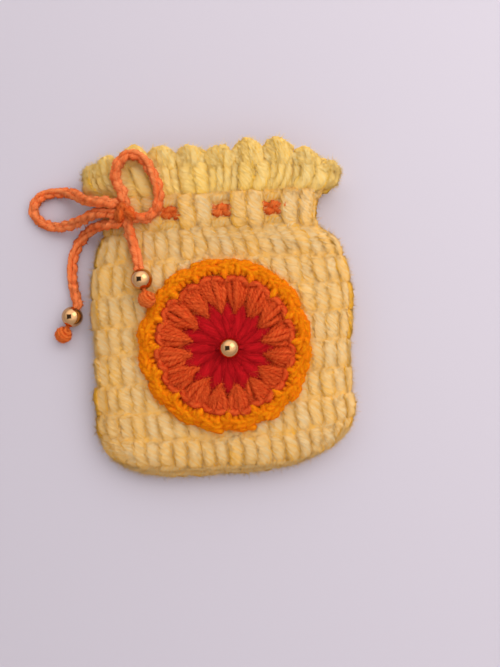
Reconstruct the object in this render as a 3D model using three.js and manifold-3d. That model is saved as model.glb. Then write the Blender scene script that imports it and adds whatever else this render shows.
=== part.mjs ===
// A small crocheted drawstring pouch that lies on its back, with a rosette on its front and a tied cord.
// Millimetres. +X is to the right of the front, +Y towards the mouth, +Z up from the surface it lies on.
import * as THREE from "three";
import { mergeVertices } from "three/addons/utils/BufferGeometryUtils.js";
import Module from "manifold-3d";

const wasm = await Module();
wasm.setup();

// Driving dimensions
const WALL = 3.2; // thickness of the crocheted fabric
const GAP = 0.3; // gap that touching pieces keep
const SLIVER = 0.02; // facets smaller than this are merged away after a cut
const SIDE_POWER = 4.4; // how squarely a cross-section runs out to its side edges
const SAG_POWER = 4; // how evenly a round's sag is spread over its width
const EDGE_LEVEL = 0.45; // height of the side edges, as a share of the local thickness
const PRESS = 1; // how far the underside is pressed flat by the surface under it

const BODY_TOP_ROUND = 8; // rounds of the bag, counted from its bottom edge
const BAND_TOP_ROUND = 9; // the eyelet round ends here and the frill starts
const FRILL_TOP_ROUND = 11;
const ROUND_GAP = 0.012; // half the gap between two pieces of fabric, in rounds

const EYELETS = 9;
const FIRST_EYELET = 0.0507; // place of the bow's eyelet, as a share of the way round
const EYELET = { width: 8.2, height: 5.6, depth: 14 };
const CHANNEL = { outer: 1.6, low: 8.32, high: 8.78 }; // groove behind the posts that the cord lies in
const POST_RIB = 0.5; // how far the middle of a pair of posts stands out

const SHELLS = 19; // scallops round the mouth
const SHELL_PHASE = 0.05; // how far the first scallop lies past the left edge, in scallops
const RUFFLE = 1.5; // how far a shell waves out of the fabric at the top edge
const SCALLOP = 4; // depth of the notches between the shells

const PETALS = 16;
const ROSETTE = { x: 2.4, y: -18.5, centreTip: 18.2, centreValley: 14.8, petals: 29.2, border: 34.9 };
const PETAL_NOTCH = 2.6; // depth of the notches between the petals
const BORDER_SCALLOP = 1.3; // depth of the border's scallops
const ROSETTE_EYE = 1.2; // radius of the hole that the first round is worked into
const ROSETTE_SEAT = 2.9; // height of the first round under its bead
// Each round of the rosette: its height at the edges, how much higher its crown is, where along the crown's
// arch its two edges lie, and the share of the crown that is lost between two petals
const ROSETTE_RISE = {
  centre: { edge: 1.5, crown: 1.3, from: 0.15, to: 0.9, dip: 0 },
  petals: { edge: 1.1, crown: 3.1, from: 0.08, to: 0.92, dip: 0.45 },
  border: { edge: 0.9, crown: 1.9, from: 0.12, to: 0.92, dip: 0 },
};

const CORD_DIAMETER = 4;
const CORD_SIDES = 8;
const NECK_CORD = { width: 4.2, thickness: 2.6 }; // the cord is squeezed flat inside the neck
const KNOT = { x: -36.6, y: 38, z: 18.4, halfX: 5, halfY: 4.3, halfZ: 3.4, wrap: 1.7 };
const BEAD = { rosetteRadius: 4, cordRadius: 4.4, bore: 1.35 };
const BALL = { radius: 3.75, stem: 0.95 };
const THREAD_RADIUS = 0.5;

// The pouch's outline, round by round from its bottom edge to its mouth: the ends of each round at the
// left and right side, how far its middle sags below them, and its lowest and highest point.
const FORM_COLUMNS = ["leftX", "leftY", "rightX", "rightY", "sag", "low", "high"];
const FORM = [
  { round: 0, leftX: -44.5, leftY: -64, rightX: 37.5, rightY: -63, sag: 6.4, low: 2.4, high: 6.6 },
  { round: 0.2, leftX: -48.3, leftY: -60.5, rightX: 43.5, rightY: -60.3, sag: 6.6, low: 0.5, high: 10 },
  { round: 0.5, leftX: -50.6, leftY: -57.2, rightX: 48.6, rightY: -56, sag: 5.2, low: 0, high: 12.4 },
  { round: 1, leftX: -52.3, leftY: -51.5, rightX: 52.2, rightY: -49.5, sag: 4, low: 0, high: 13.4 },
  { round: 2, leftX: -52.5, leftY: -43.3, rightX: 52.4, rightY: -39.2, sag: 1.6, low: 0, high: 14 },
  { round: 4, leftX: -52.9, leftY: -19.8, rightX: 53.2, rightY: -17, sag: 0.4, low: 0, high: 14.4 },
  { round: 5, leftX: -53.2, leftY: -8.5, rightX: 54.6, rightY: -5.2, sag: 0, low: 0, high: 14.5 },
  { round: 6, leftX: -53.3, leftY: 4.4, rightX: 54.2, rightY: 6.3, sag: 0, low: 0, high: 14.4 },
  { round: 7, leftX: -51.8, leftY: 18, rightX: 52.3, rightY: 17.6, sag: 0, low: 0, high: 14.2 },
  { round: 7.6, leftX: -49.2, leftY: 25.8, rightX: 49.6, rightY: 25, sag: 0, low: 0, high: 14.7 },
  { round: 8, leftX: -46.9, leftY: 30.6, rightX: 43.4, rightY: 30.6, sag: 0, low: 0, high: 15.4 },
  { round: 8.5, leftX: -46.6, leftY: 38, rightX: 43, rightY: 38, sag: 0, low: 0, high: 15.8 },
  { round: 9, leftX: -48.4, leftY: 45.2, rightX: 45.8, rightY: 45.2, sag: 0, low: 0, high: 16 },
  { round: 9.4, leftX: -53, leftY: 49, rightX: 51.4, rightY: 47.4, sag: -2, low: 0, high: 16.2 },
  { round: 10, leftX: -54.2, leftY: 54.4, rightX: 53.4, rightY: 52.4, sag: -3, low: 0, high: 16.6 },
  { round: 10.6, leftX: -53.6, leftY: 58.6, rightX: 52.6, rightY: 56.8, sag: -6.4, low: 0, high: 17 },
  { round: 11, leftX: -51.4, leftY: 61.4, rightX: 50, rightY: 59.4, sag: -9.4, low: 0, high: 17.2 },
];
const formCurve = new THREE.CubicInterpolant(
  FORM.map((section) => section.round),
  FORM.flatMap((section) => FORM_COLUMNS.map((column) => section[column])),
  FORM_COLUMNS.length,
);

// Routes of the loose cord, from the knot outwards, as points of its centre line
const SIDE_LOOP = [
  [-37.6, 40.2, 19.2], [-43, 41.6, 20.4], [-48.4, 42.7, 18.6], [-53, 44.9, 14.6], [-58, 48.3, 8.8],
  [-63.4, 51.4, 3.8], [-69, 52.2, 2.3], [-74.8, 50.4, 2.2], [-78, 45.2, 2.2], [-75.2, 39.8, 2.2],
  [-68.8, 36.8, 2.6], [-61.6, 37, 5], [-55.4, 38.1, 9.6], [-49.6, 38.8, 14.4], [-44.4, 38.2, 17.6],
  [-36.6, 37.4, 18.6],
];
const TOP_LOOP = [
  [-35.4, 39.6, 19.8], [-36.6, 45, 20.9], [-39.2, 51.2, 20], [-37.6, 57.6, 19.8], [-33, 60.9, 20.2],
  [-27.8, 59, 20.4], [-24.2, 52.6, 19.8], [-22.2, 45.2, 18.7], [-23.2, 39, 18], [-27.4, 35.4, 17.8],
  [-32.4, 36, 18.2], [-36.6, 37.8, 18.4],
];
const SIDE_TAIL = [
  [-38.2, 34.4, 17], [-42.6, 33.8, 15.5], [-47.2, 34.2, 12.8], [-51.2, 34.4, 7.8], [-54.2, 33.6, 4],
  [-57.2, 31.8, 2.4], [-60, 28.4, 2.2], [-62, 22.8, 2.2], [-62.3, 16, 2.2], [-61.4, 8.4, 2.6],
  [-60.3, 3.2, 4],
];
const FRONT_TAIL = [
  [-35.6, 37, 18], [-34.9, 31.6, 17.2], [-34, 26.4, 16.2], [-32.6, 20.6, 16.2], [-31.4, 15.4, 17.8],
];
const SIDE_BEAD = { at: [-62.3, -1.8, 4.5], ball: [-66.5, -9.1, 3.8] };
const FRONT_BEAD = { at: [-30.4, 10.2, 18.8], ball: [-28.6, 2, 19.9] };

const YELLOW = 0xe6bd72;
const ORANGE = 0xd2642a;
const PETAL_ORANGE = 0xc8481f;
const AMBER = 0xee8a12;
const RED = 0xab1a1f;
const GOLD = 0xd9a441;

const yarn = (color) => new THREE.MeshStandardMaterial({ color, roughness: 0.95, metalness: 0 });
const gold = () => new THREE.MeshStandardMaterial({ color: GOLD, roughness: 0.12, metalness: 1 });

// The section of the pouch at a round, with a fraction for a place between two rounds
function formAt(round) {
  const values = formCurve.evaluate(round);
  return Object.fromEntries(FORM_COLUMNS.map((column, i) => [column, values[i]]));
}

// How far along +Y a section lies at a given x
function sectionY(section, x) {
  const across = (x - section.leftX) / (section.rightX - section.leftX);
  const bow = 1 - Math.abs(2 * across - 1) ** SAG_POWER;
  return THREE.MathUtils.lerp(section.leftY, section.rightY, across) - section.sag * bow;
}

// A point of a section's loop: angle pi is the left edge, the front comes next, inset goes into the fabric
function loopPoint(section, angle, inset) {
  const cos = Math.cos(angle);
  const sin = Math.sin(angle);
  const halfWidth = (section.rightX - section.leftX) / 2;
  const reach = Math.sign(cos) * Math.abs(cos) ** (2 / SIDE_POWER);
  const x = (section.leftX + section.rightX) / 2 + (halfWidth - inset) * reach;
  const edgeZ = section.low + EDGE_LEVEL * (section.high - section.low);
  const front = edgeZ + (section.high - inset - edgeZ) * sin;
  const back = edgeZ + (edgeZ - section.low + PRESS - inset) * sin;
  const z = sin >= 0 ? front : Math.max(section.low + inset, back);
  return new THREE.Vector3(x, sectionY(section, x), z);
}

// The angles at some shares of the way round a section's loop, from the left edge over the front
function anglesAt(section, shares) {
  const samples = 720;
  const angleOf = (i) => Math.PI - (2 * Math.PI * i) / samples;
  const run = [0];
  for (let i = 1; i <= samples; i++) {
    const step = loopPoint(section, angleOf(i), 0).distanceTo(loopPoint(section, angleOf(i - 1), 0));
    run.push(run[i - 1] + step);
  }
  return shares.map((share) => {
    const wanted = run[samples] * THREE.MathUtils.euclideanModulo(share, 1);
    const i = Math.max(0, run.findIndex((length) => length > wanted) - 1);
    return angleOf(i + (wanted - run[i]) / (run[i + 1] - run[i]));
  });
}

// One ring of the fabric at a round: insetAt and liftAt take the share of the way round
function ringAt(round, count, insetAt, liftAt = () => 0) {
  const section = formAt(round);
  const shares = Array.from({ length: count }, (_, k) => k / count);
  return anglesAt(section, shares).map((angle, k) => {
    const point = loopPoint(section, angle, insetAt(shares[k]));
    point.y += liftAt(shares[k]);
    point.z = Math.max(point.z, 0);
    return point;
  });
}

// A point of the pouch at a share of the way round, with the directions along the loop and outwards
function placeOn(round, share, inset = 0) {
  const section = formAt(round);
  const [before, here, after] = anglesAt(section, [share - 0.002, share, share + 0.002]).map((angle) =>
    loopPoint(section, angle, inset),
  );
  const along = after.sub(before).normalize();
  const outward = new THREE.Vector3(-along.z, 0, along.x).normalize();
  return { point: here, along, outward };
}

// Height of the pouch's front at a place seen from above
function frontHeight(x, y) {
  let low = 0;
  let high = BODY_TOP_ROUND;
  for (let i = 0; i < 40; i++) {
    const middle = (low + high) / 2;
    if (sectionY(formAt(middle), x) < y) low = middle;
    else high = middle;
  }
  const section = formAt(low);
  const reach = (2 * x - section.leftX - section.rightX) / (section.rightX - section.leftX);
  const edgeZ = section.low + EDGE_LEVEL * (section.high - section.low);
  return edgeZ + (section.high - edgeZ) * Math.sqrt(1 - Math.abs(reach) ** SIDE_POWER);
}

// A closed geometry from rings of points. Caps zip the front of an end ring to its back; without them
// the last ring joins the first.
function geometryFromRings(rings, capped) {
  const count = rings[0].length;
  const positions = rings.flat().flatMap((p) => [p.x, p.y, p.z]);
  const triangles = [];
  const at = (ring, k) => ring * count + ((k + count) % count);
  const quad = (a, b, c, d) => triangles.push(a, c, b, a, d, c);
  const bands = capped ? rings.length - 1 : rings.length;
  for (let r = 0; r < bands; r++) {
    const next = (r + 1) % rings.length;
    for (let k = 0; k < count; k++) quad(at(r, k), at(next, k), at(next, k + 1), at(r, k + 1));
  }
  if (capped) {
    const last = rings.length - 1;
    for (let k = 0; k < count / 2; k++) {
      quad(at(0, k), at(0, k + 1), at(0, -k - 1), at(0, -k));
      quad(at(last, -k), at(last, -k - 1), at(last, k + 1), at(last, k));
    }
  }
  const geometry = new THREE.BufferGeometry();
  geometry.setAttribute("position", new THREE.Float32BufferAttribute(positions, 3));
  geometry.setIndex(triangles.filter((_, i) => isRealTriangle(triangles, i - (i % 3))));
  return geometry;
}

// Whether the three corners from a place in an index list differ
function isRealTriangle(index, from) {
  const [a, b, c] = index.slice(from, from + 3);
  return a !== b && b !== c && c !== a;
}

// A geometry as a solid for booleans, and back
function solidFrom(geometry) {
  const bare = new THREE.BufferGeometry();
  bare.setAttribute("position", geometry.getAttribute("position"));
  bare.setIndex(geometry.index);
  const merged = mergeVertices(bare, 1e-3);
  const vertProperties = new Float32Array(merged.getAttribute("position").array);
  return new wasm.Manifold(
    new wasm.Mesh({ numProp: 3, vertProperties, triVerts: new Uint32Array(merged.index.array) }),
  );
}

function geometryFromSolid(solid) {
  const mesh = solid.simplify(SLIVER).getMesh();
  const geometry = new THREE.BufferGeometry();
  geometry.setAttribute("position", new THREE.Float32BufferAttribute(mesh.vertProperties, 3));
  geometry.setIndex([...mesh.triVerts]);
  return geometry;
}

function namedMesh(name, geometry, material) {
  const mesh = new THREE.Mesh(geometry, material);
  mesh.name = name;
  return mesh;
}

// The bag: an outer and an inner skin that meet in the rim under the eyelet round
function makeBody() {
  const facets = 52;
  const top = BODY_TOP_ROUND - ROUND_GAP;
  const outerRounds = [0, 0.1, 0.25, 0.55, 1, 2.5, 4.5, 6, 7, 7.6, top];
  const innerRounds = [top, 7.6, 6, 2.5, 0.9, 0.5];
  const outer = outerRounds.map((round) => ringAt(round, facets, () => 0));
  const inner = innerRounds.map((round) => ringAt(round, facets, () => WALL));
  return namedMesh("pouch_body", geometryFromRings([...outer, ...inner], true), yarn(YELLOW));
}

// An open tube of fabric between two rounds
function fabricTube(rounds, facets, outerInset, innerInset, liftAt = () => () => 0) {
  const outer = rounds.map((round) => ringAt(round, facets, outerInset(round), liftAt(round)));
  const inner = rounds.map((round) => ringAt(round, facets, innerInset(round), liftAt(round)));
  return geometryFromRings([...outer, ...inner.reverse()], false);
}

// The eyelet round: pairs of posts with gaps between them, and a groove behind the posts for the cord
function makeEyeletBand() {
  const facets = 60;
  const low = BODY_TOP_ROUND + ROUND_GAP;
  const high = BAND_TOP_ROUND - ROUND_GAP;
  const rib = (share) => -POST_RIB * Math.abs(Math.sin(Math.PI * EYELETS * (share - FIRST_EYELET)));
  const ring = fabricTube([low, high], facets, () => rib, () => () => WALL);
  const groove = fabricTube(
    [CHANNEL.low, CHANNEL.high],
    facets,
    () => () => CHANNEL.outer,
    () => () => WALL + 1,
  );
  let solid = solidFrom(ring).subtract(solidFrom(groove));
  for (let k = 0; k < EYELETS; k++) {
    solid = solid.subtract(eyeletCutter(FIRST_EYELET + k / EYELETS));
  }
  return namedMesh("eyelet_band", geometryFromSolid(solid), yarn(YELLOW));
}

// A round-cornered plug that cuts one eyelet
function eyeletCutter(share) {
  const { point, along, outward } = placeOn((CHANNEL.low + CHANNEL.high) / 2, share);
  const halfWidth = EYELET.width / 2;
  const halfHeight = EYELET.height / 2;
  const corner = 1.2;
  const outline = new THREE.Shape();
  outline.moveTo(-halfWidth, -halfHeight + corner);
  outline.lineTo(-halfWidth, halfHeight - corner);
  outline.lineTo(-halfWidth + corner, halfHeight);
  outline.lineTo(halfWidth - corner, halfHeight);
  outline.lineTo(halfWidth, halfHeight - corner);
  outline.lineTo(halfWidth, -halfHeight + corner);
  outline.lineTo(halfWidth - corner, -halfHeight);
  outline.lineTo(-halfWidth + corner, -halfHeight);
  const plug = new THREE.ExtrudeGeometry(outline, { depth: EYELET.depth, bevelEnabled: false });
  plug.translate(0, 0, -EYELET.depth / 2);
  const up = new THREE.Vector3().crossVectors(outward, along);
  plug.applyMatrix4(new THREE.Matrix4().makeBasis(along, up, outward).setPosition(point));
  return solidFrom(plug);
}

// The frill: flares from the eyelet round, waves out at each shell, and ends in a scalloped edge
function makeFrill() {
  const facets = SHELLS * 5;
  const rounds = [BAND_TOP_ROUND + ROUND_GAP, 9.4, 10.1, FRILL_TOP_ROUND];
  const phase = (share) => 2 * Math.PI * (SHELLS * share - SHELL_PHASE);
  const swell = (round) => (RUFFLE * (round - BAND_TOP_ROUND)) / (FRILL_TOP_ROUND - BAND_TOP_ROUND);
  const wave = (round) => (share) => -swell(round) * Math.cos(phase(share));
  const lining = (round) => (share) => WALL + wave(round)(share);
  const notch = (round) => (share) =>
    -SCALLOP * Math.max(0, round - 10) * (0.5 - 0.5 * Math.cos(phase(share))) ** 2;
  return namedMesh("frill", fabricTube(rounds, facets, wave, lining, notch), yarn(YELLOW));
}

// A pad of the rosette that lies on the front, between two outlines given by the angle round its middle
function rosettePad(inner, outer, rise, turns, steps) {
  const place = (turn, share, height) => {
    const angle = (-2 * Math.PI * turn) / turns;
    const radius = THREE.MathUtils.lerp(inner(turn / turns), outer(turn / turns), share);
    const x = ROSETTE.x + radius * Math.cos(angle);
    const y = ROSETTE.y + radius * Math.sin(angle);
    return new THREE.Vector3(x, y, frontHeight(x, y) + GAP + height);
  };
  const ring = (share, height) =>
    Array.from({ length: turns }, (_, turn) => place(turn, share, height(turn / turns)));
  const rings = [ring(0, () => 0)];
  for (let s = 0; s <= steps; s++) rings.push(ring(s / steps, (share) => rise(share, s / steps)));
  rings.push(ring(1, () => 0));
  return geometryFromRings(rings, false);
}

// How far an angle lies from the middle of its petal: 0 in the middle, 1 between two petals
const offPetal = (share) => Math.abs(2 * ((share * PETALS) % 1) - 1);

// The height of one round of the rosette over the front
const roundRise = ({ edge, crown, from, to, dip }) => (share, along) => {
  const arch = Math.sin(Math.PI * THREE.MathUtils.lerp(from, to, along));
  return edge + crown * arch * (1 - dip * offPetal(share) ** 2);
};

// The three rounds of the rosette: a red star, a ring of puffed petals, and a scalloped border
function makeRosette() {
  const group = new THREE.Group();
  const eye = () => ROSETTE_EYE;
  const star = (share) =>
    THREE.MathUtils.lerp(ROSETTE.centreValley, ROSETTE.centreTip, offPetal(share));
  const lobe = (share) => ROSETTE.petals - PETAL_NOTCH * offPetal(share) ** 2;
  const edge = (share) => ROSETTE.border - BORDER_SCALLOP * offPetal(share) ** 2;
  const inside = (outline) => (share) => outline(share) - GAP;
  const { centre, petals, border } = ROSETTE_RISE;
  const centrePad = rosettePad(eye, inside(star), roundRise(centre), PETALS * 4, 2);
  const petalPad = rosettePad(star, inside(lobe), roundRise(petals), PETALS * 6, 3);
  const borderPad = rosettePad(lobe, edge, roundRise(border), PETALS * 4, 2);
  group.add(namedMesh("rosette_centre", centrePad, yarn(RED)));
  group.add(namedMesh("rosette_petals", petalPad, yarn(PETAL_ORANGE)));
  group.add(namedMesh("rosette_border", borderPad, yarn(AMBER)));
  return group;
}

// A regular outline with two half sizes, for a cord's section
function cordSection(halfAcross, halfUp) {
  const outline = new THREE.Shape();
  for (let k = 0; k < CORD_SIDES; k++) {
    const angle = (2 * Math.PI * (k + 0.5)) / CORD_SIDES;
    const x = halfAcross * Math.cos(angle);
    const y = halfUp * Math.sin(angle);
    if (k === 0) outline.moveTo(x, y);
    else outline.lineTo(x, y);
  }
  return outline;
}

// A tube along a smooth curve through a route's points
function cordAlong(points, section, steps) {
  const extrudePath = new THREE.CatmullRomCurve3(points, false, "centripetal");
  return new THREE.ExtrudeGeometry(section, { steps, extrudePath, bevelEnabled: false });
}

// The bow's knot: a flattened core with one turn of cord drawn round it
function makeKnotSolid(grow) {
  const core = new THREE.SphereGeometry(1, 12, 8);
  core.scale(KNOT.halfX + grow, KNOT.halfY + grow, KNOT.halfZ + grow);
  const turn = new THREE.TorusGeometry(1, (KNOT.wrap + grow) / KNOT.halfZ, 6, 12);
  turn.scale(KNOT.halfZ - 0.8, KNOT.halfY - 0.6, KNOT.halfZ);
  turn.rotateY(Math.PI / 2);
  turn.rotateZ(0.5);
  const knot = solidFrom(core).add(solidFrom(turn));
  return knot.translate([KNOT.x, KNOT.y, KNOT.z]);
}

// The loose cord: its knot, two loops and two tails, each clear of the knot by a small gap
function makeBow() {
  const group = new THREE.Group();
  const round = cordSection(CORD_DIAMETER / 2, CORD_DIAMETER / 2);
  const room = makeKnotSolid(GAP);
  const routes = {
    bow_loop_side: { points: SIDE_LOOP, steps: 26 },
    bow_loop_top: { points: TOP_LOOP, steps: 24 },
    tail_side: { points: SIDE_TAIL, steps: 16 },
    tail_front: { points: FRONT_TAIL, steps: 8 },
  };
  for (const [name, { points, steps }] of Object.entries(routes)) {
    const path = points.map((p) => new THREE.Vector3(...p));
    const tube = largestPart(solidFrom(cordAlong(path, round, steps)).subtract(room));
    group.add(namedMesh(name, geometryFromSolid(tube), yarn(ORANGE)));
  }
  group.add(namedMesh("bow_knot", geometryFromSolid(makeKnotSolid(0)), yarn(ORANGE)));
  return group;
}

// The biggest of the bodies that a cut leaves
function largestPart(solid) {
  return solid.decompose().sort((a, b) => b.volume() - a.volume())[0];
}

// The stretch of the cord inside the neck: out of the bow's eyelet at both ends, behind every pair of posts
function makeNeckCord() {
  const round = (CHANNEL.low + CHANNEL.high) / 2;
  const depth = CHANNEL.outer + 2 * GAP + NECK_CORD.thickness / 2;
  const rise = [
    { aside: 0.012, inset: depth },
    { aside: 0.0085, inset: depth - 1.6 },
    { aside: 0.0076, inset: 0.6 },
    { aside: 0.0076, inset: -1.6 },
  ]; // how the cord turns out of its eyelet, as shares of the way round and depths in the fabric
  const at = (share, inset) => placeOn(round, share, inset).point;
  const points = rise.map(({ aside, inset }) => at(FIRST_EYELET + aside, inset)).reverse();
  const turns = 72;
  for (let k = 2; k < turns - 1; k++) points.push(at(FIRST_EYELET + k / turns, depth));
  points.push(...rise.map(({ aside, inset }) => at(FIRST_EYELET - aside, inset)));
  const section = cordSection(NECK_CORD.width / 2, NECK_CORD.thickness / 2);
  const tube = solidFrom(cordAlong(points, section, 72)).subtract(makeKnotSolid(GAP));
  return namedMesh("neck_cord", geometryFromSolid(largestPart(tube)), yarn(ORANGE));
}

// A drilled round bead, standing on its bore's axis along +Y
function beadGeometry(radius) {
  const profile = [];
  const rim = Math.asin(BEAD.bore / radius);
  const steps = 8;
  for (let k = 0; k <= steps; k++) {
    const angle = rim + ((Math.PI - 2 * rim) * k) / steps;
    profile.push(new THREE.Vector2(radius * Math.sin(angle), -radius * Math.cos(angle)));
  }
  profile.push(profile[0].clone());
  return new THREE.LatheGeometry(profile, 14);
}

// A yarn ball with the yarn end that comes to it through the bead
function ballGeometry(stemTop) {
  const profile = [];
  const steps = 8;
  const last = Math.PI - Math.asin(BALL.stem / BALL.radius);
  for (let k = 0; k <= steps; k++) {
    const angle = (last * k) / steps;
    profile.push(new THREE.Vector2(BALL.radius * Math.sin(angle), -BALL.radius * Math.cos(angle)));
  }
  profile[0].x = 0;
  profile.push(new THREE.Vector2(BALL.stem, stemTop), new THREE.Vector2(0, stemTop));
  return new THREE.LatheGeometry(profile, 12);
}

// Turns a mesh whose length runs along +Y to point along a direction
function aim(mesh, from, to) {
  const direction = new THREE.Vector3().subVectors(to, from).normalize();
  mesh.position.copy(from);
  mesh.quaternion.setFromUnitVectors(new THREE.Vector3(0, 1, 0), direction);
  return mesh;
}

// A bead and a yarn ball on the end of each tail
function makeTailEnds() {
  const group = new THREE.Group();
  const ends = { side: { ...SIDE_BEAD, route: SIDE_TAIL }, front: { ...FRONT_BEAD, route: FRONT_TAIL } };
  for (const [name, { at, ball, route }] of Object.entries(ends)) {
    const beadCentre = new THREE.Vector3(...at);
    const ballCentre = new THREE.Vector3(...ball);
    const tailEnd = new THREE.Vector3(...route.at(-1));
    const stemTop = ballCentre.distanceTo(beadCentre) + beadCentre.distanceTo(tailEnd) - GAP;
    const bead = namedMesh(`bead_${name}`, beadGeometry(BEAD.cordRadius), gold());
    const knot = namedMesh(`end_ball_${name}`, ballGeometry(stemTop), yarn(ORANGE));
    group.add(aim(bead, beadCentre, ballCentre));
    group.add(aim(knot, ballCentre, beadCentre));
  }
  return group;
}

// The bead in the middle of the rosette and the thread that sews it on
function makeRosetteBead() {
  const group = new THREE.Group();
  const seat = frontHeight(ROSETTE.x, ROSETTE.y) + ROSETTE_SEAT;
  const centre = new THREE.Vector3(ROSETTE.x, ROSETTE.y, seat + GAP + BEAD.rosetteRadius);
  const bead = namedMesh("rosette_bead", beadGeometry(BEAD.rosetteRadius), gold());
  group.add(aim(bead, centre, centre.clone().add(new THREE.Vector3(1, 0, 0))));
  const halfThread = [
    [0, 0, 0], [3.3, 0, 0], [4.15, 0, -0.35], [4.5, 0, -1.4], [4.2, 0, -2.6], [3.9, 0, -3.4],
  ].map((p) => new THREE.Vector3(...p));
  const mirrored = halfThread.slice(1).map((p) => new THREE.Vector3(-p.x, p.y, p.z)).reverse();
  const path = [...mirrored, ...halfThread].map((p) => p.add(centre));
  const thread = cordAlong(path, cordSection(THREAD_RADIUS, THREAD_RADIUS), 14);
  group.add(namedMesh("rosette_bead_thread", thread, yarn(RED)));
  return group;
}

const pouch = new THREE.Group();
pouch.add(makeBody(), makeEyeletBand(), makeFrill());
pouch.add(makeRosette(), makeRosetteBead());
pouch.add(makeNeckCord(), makeBow(), makeTailEnds());

export default pouch;
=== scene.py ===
"""Looks of the crochet pouch: yarn stitches, chain cord, gold beads, floor, light and camera."""
import logging
import math
from collections.abc import Sequence
from dataclasses import dataclass, field, replace
from enum import Enum

import bpy
import numpy as np
from mathutils import Matrix, Vector


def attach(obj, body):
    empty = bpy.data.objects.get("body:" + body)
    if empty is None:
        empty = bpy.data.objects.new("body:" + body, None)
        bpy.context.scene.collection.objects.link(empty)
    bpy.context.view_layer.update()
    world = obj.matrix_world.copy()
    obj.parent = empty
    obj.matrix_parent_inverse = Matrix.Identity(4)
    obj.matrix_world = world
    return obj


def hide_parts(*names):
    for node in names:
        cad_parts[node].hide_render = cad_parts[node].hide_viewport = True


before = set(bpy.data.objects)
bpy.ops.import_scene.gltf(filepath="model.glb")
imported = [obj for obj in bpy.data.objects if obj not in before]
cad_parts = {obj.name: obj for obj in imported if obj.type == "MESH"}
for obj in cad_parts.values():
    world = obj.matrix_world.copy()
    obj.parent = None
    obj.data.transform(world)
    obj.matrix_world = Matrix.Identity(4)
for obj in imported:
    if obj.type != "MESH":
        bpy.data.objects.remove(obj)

Array = np.ndarray
Pair = tuple[float, float]
Point = tuple[float, float, float]
Profile = tuple[Pair, ...]
Ramp = tuple[Pair, Pair]
Socket = bpy.types.NodeSocket
log = logging.getLogger("pouch")
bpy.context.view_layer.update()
MM = 0.001
UP: Point = (0.0, 0.0, 1.0)
# Points worked out between two points of a route
SPAN_STEPS = 25

# The pouch's outer form, in mm: round, left x and y, right x and y, sag, lowest and highest z
ROUNDS = (
    (0.0, -44.5, -64.0, 37.5, -63.0, 6.4, 2.4, 6.6),
    (0.2, -48.3, -60.5, 43.5, -60.3, 6.6, 0.5, 10.0),
    (0.5, -50.6, -57.2, 48.6, -56.0, 5.2, 0.0, 12.4),
    (1.0, -52.3, -51.5, 52.2, -49.5, 4.0, 0.0, 13.4),
    (2.0, -52.5, -43.3, 52.4, -39.2, 1.6, 0.0, 14.0),
    (4.0, -52.9, -19.8, 53.2, -17.0, 0.4, 0.0, 14.4),
    (5.0, -53.2, -8.5, 54.6, -5.2, 0.0, 0.0, 14.5),
    (6.0, -53.3, 4.4, 54.2, 6.3, 0.0, 0.0, 14.4),
    (7.0, -51.8, 18.0, 52.3, 17.6, 0.0, 0.0, 14.2),
    (7.6, -49.2, 25.8, 49.6, 25.0, 0.0, 0.0, 14.7),
    (8.0, -46.9, 30.6, 43.4, 30.6, 0.0, 0.0, 15.4),
    (8.5, -46.6, 38.0, 43.0, 38.0, 0.0, 0.0, 15.8),
    (9.0, -48.4, 45.2, 45.8, 45.2, 0.0, 0.0, 16.0),
    (9.4, -53.0, 49.0, 51.4, 47.4, -2.0, 0.0, 16.2),
    (10.0, -54.2, 54.4, 53.4, 52.4, -3.0, 0.0, 16.6),
    (10.6, -53.6, 58.6, 52.6, 56.8, -6.4, 0.0, 17.0),
    (11.0, -51.4, 61.4, 50.0, 59.4, -9.4, 0.0, 17.2),
)

# The cord's routes, in mm, as the solids have them
SIDE_LOOP = (
    (-37.6, 40.2, 19.2), (-43.0, 41.6, 20.4), (-48.4, 42.7, 18.6), (-53.0, 44.9, 14.6),
    (-58.0, 48.3, 8.8), (-63.4, 51.4, 3.8), (-69.0, 52.2, 2.3), (-74.8, 50.4, 2.2),
    (-78.0, 45.2, 2.2), (-75.2, 39.8, 2.2), (-68.8, 36.8, 2.6), (-61.6, 37.0, 5.0),
    (-55.4, 38.1, 9.6), (-49.6, 38.8, 14.4), (-44.4, 38.2, 17.6), (-36.6, 37.4, 18.6),
)
TOP_LOOP = (
    (-35.4, 39.6, 19.8), (-36.6, 45.0, 20.9), (-39.2, 51.2, 20.0), (-37.6, 57.6, 19.8),
    (-33.0, 60.9, 20.2), (-27.8, 59.0, 20.4), (-24.2, 52.6, 19.8), (-22.2, 45.2, 18.7),
    (-23.2, 39.0, 18.0), (-27.4, 35.4, 17.8), (-32.4, 36.0, 18.2), (-36.6, 37.8, 18.4),
)
SIDE_TAIL = (
    (-36.8, 36.6, 17.6), (-38.2, 34.4, 17.0), (-42.6, 33.8, 15.5), (-47.2, 34.2, 12.8),
    (-51.2, 34.4, 7.8), (-54.2, 33.6, 4.0), (-57.2, 31.8, 2.4), (-60.0, 28.4, 2.2),
    (-62.0, 22.8, 2.2), (-62.3, 16.0, 2.2), (-61.4, 8.4, 2.6), (-60.3, 3.2, 4.0),
    (-61.8, -0.8, 4.5),
)
FRONT_TAIL = (
    (-36.4, 39.0, 18.4), (-35.6, 37.0, 18.0), (-34.9, 31.6, 17.2), (-34.0, 26.4, 16.2),
    (-32.6, 20.6, 16.2), (-31.4, 15.4, 17.8), (-30.3, 9.6, 18.8),
)
SIDE_BEAD: Point = (-62.3, -1.8, 4.5)
SIDE_BALL: Point = (-66.5, -9.1, 3.8)
FRONT_BEAD: Point = (-30.4, 10.2, 18.8)
FRONT_BALL: Point = (-28.6, 2.0, 19.9)
KNOT: Point = (-36.6, 38.0, 18.4)
ROSETTE_BEAD: Point = (3.3, -19.2, 21.6)


# Numbers and curves


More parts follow.
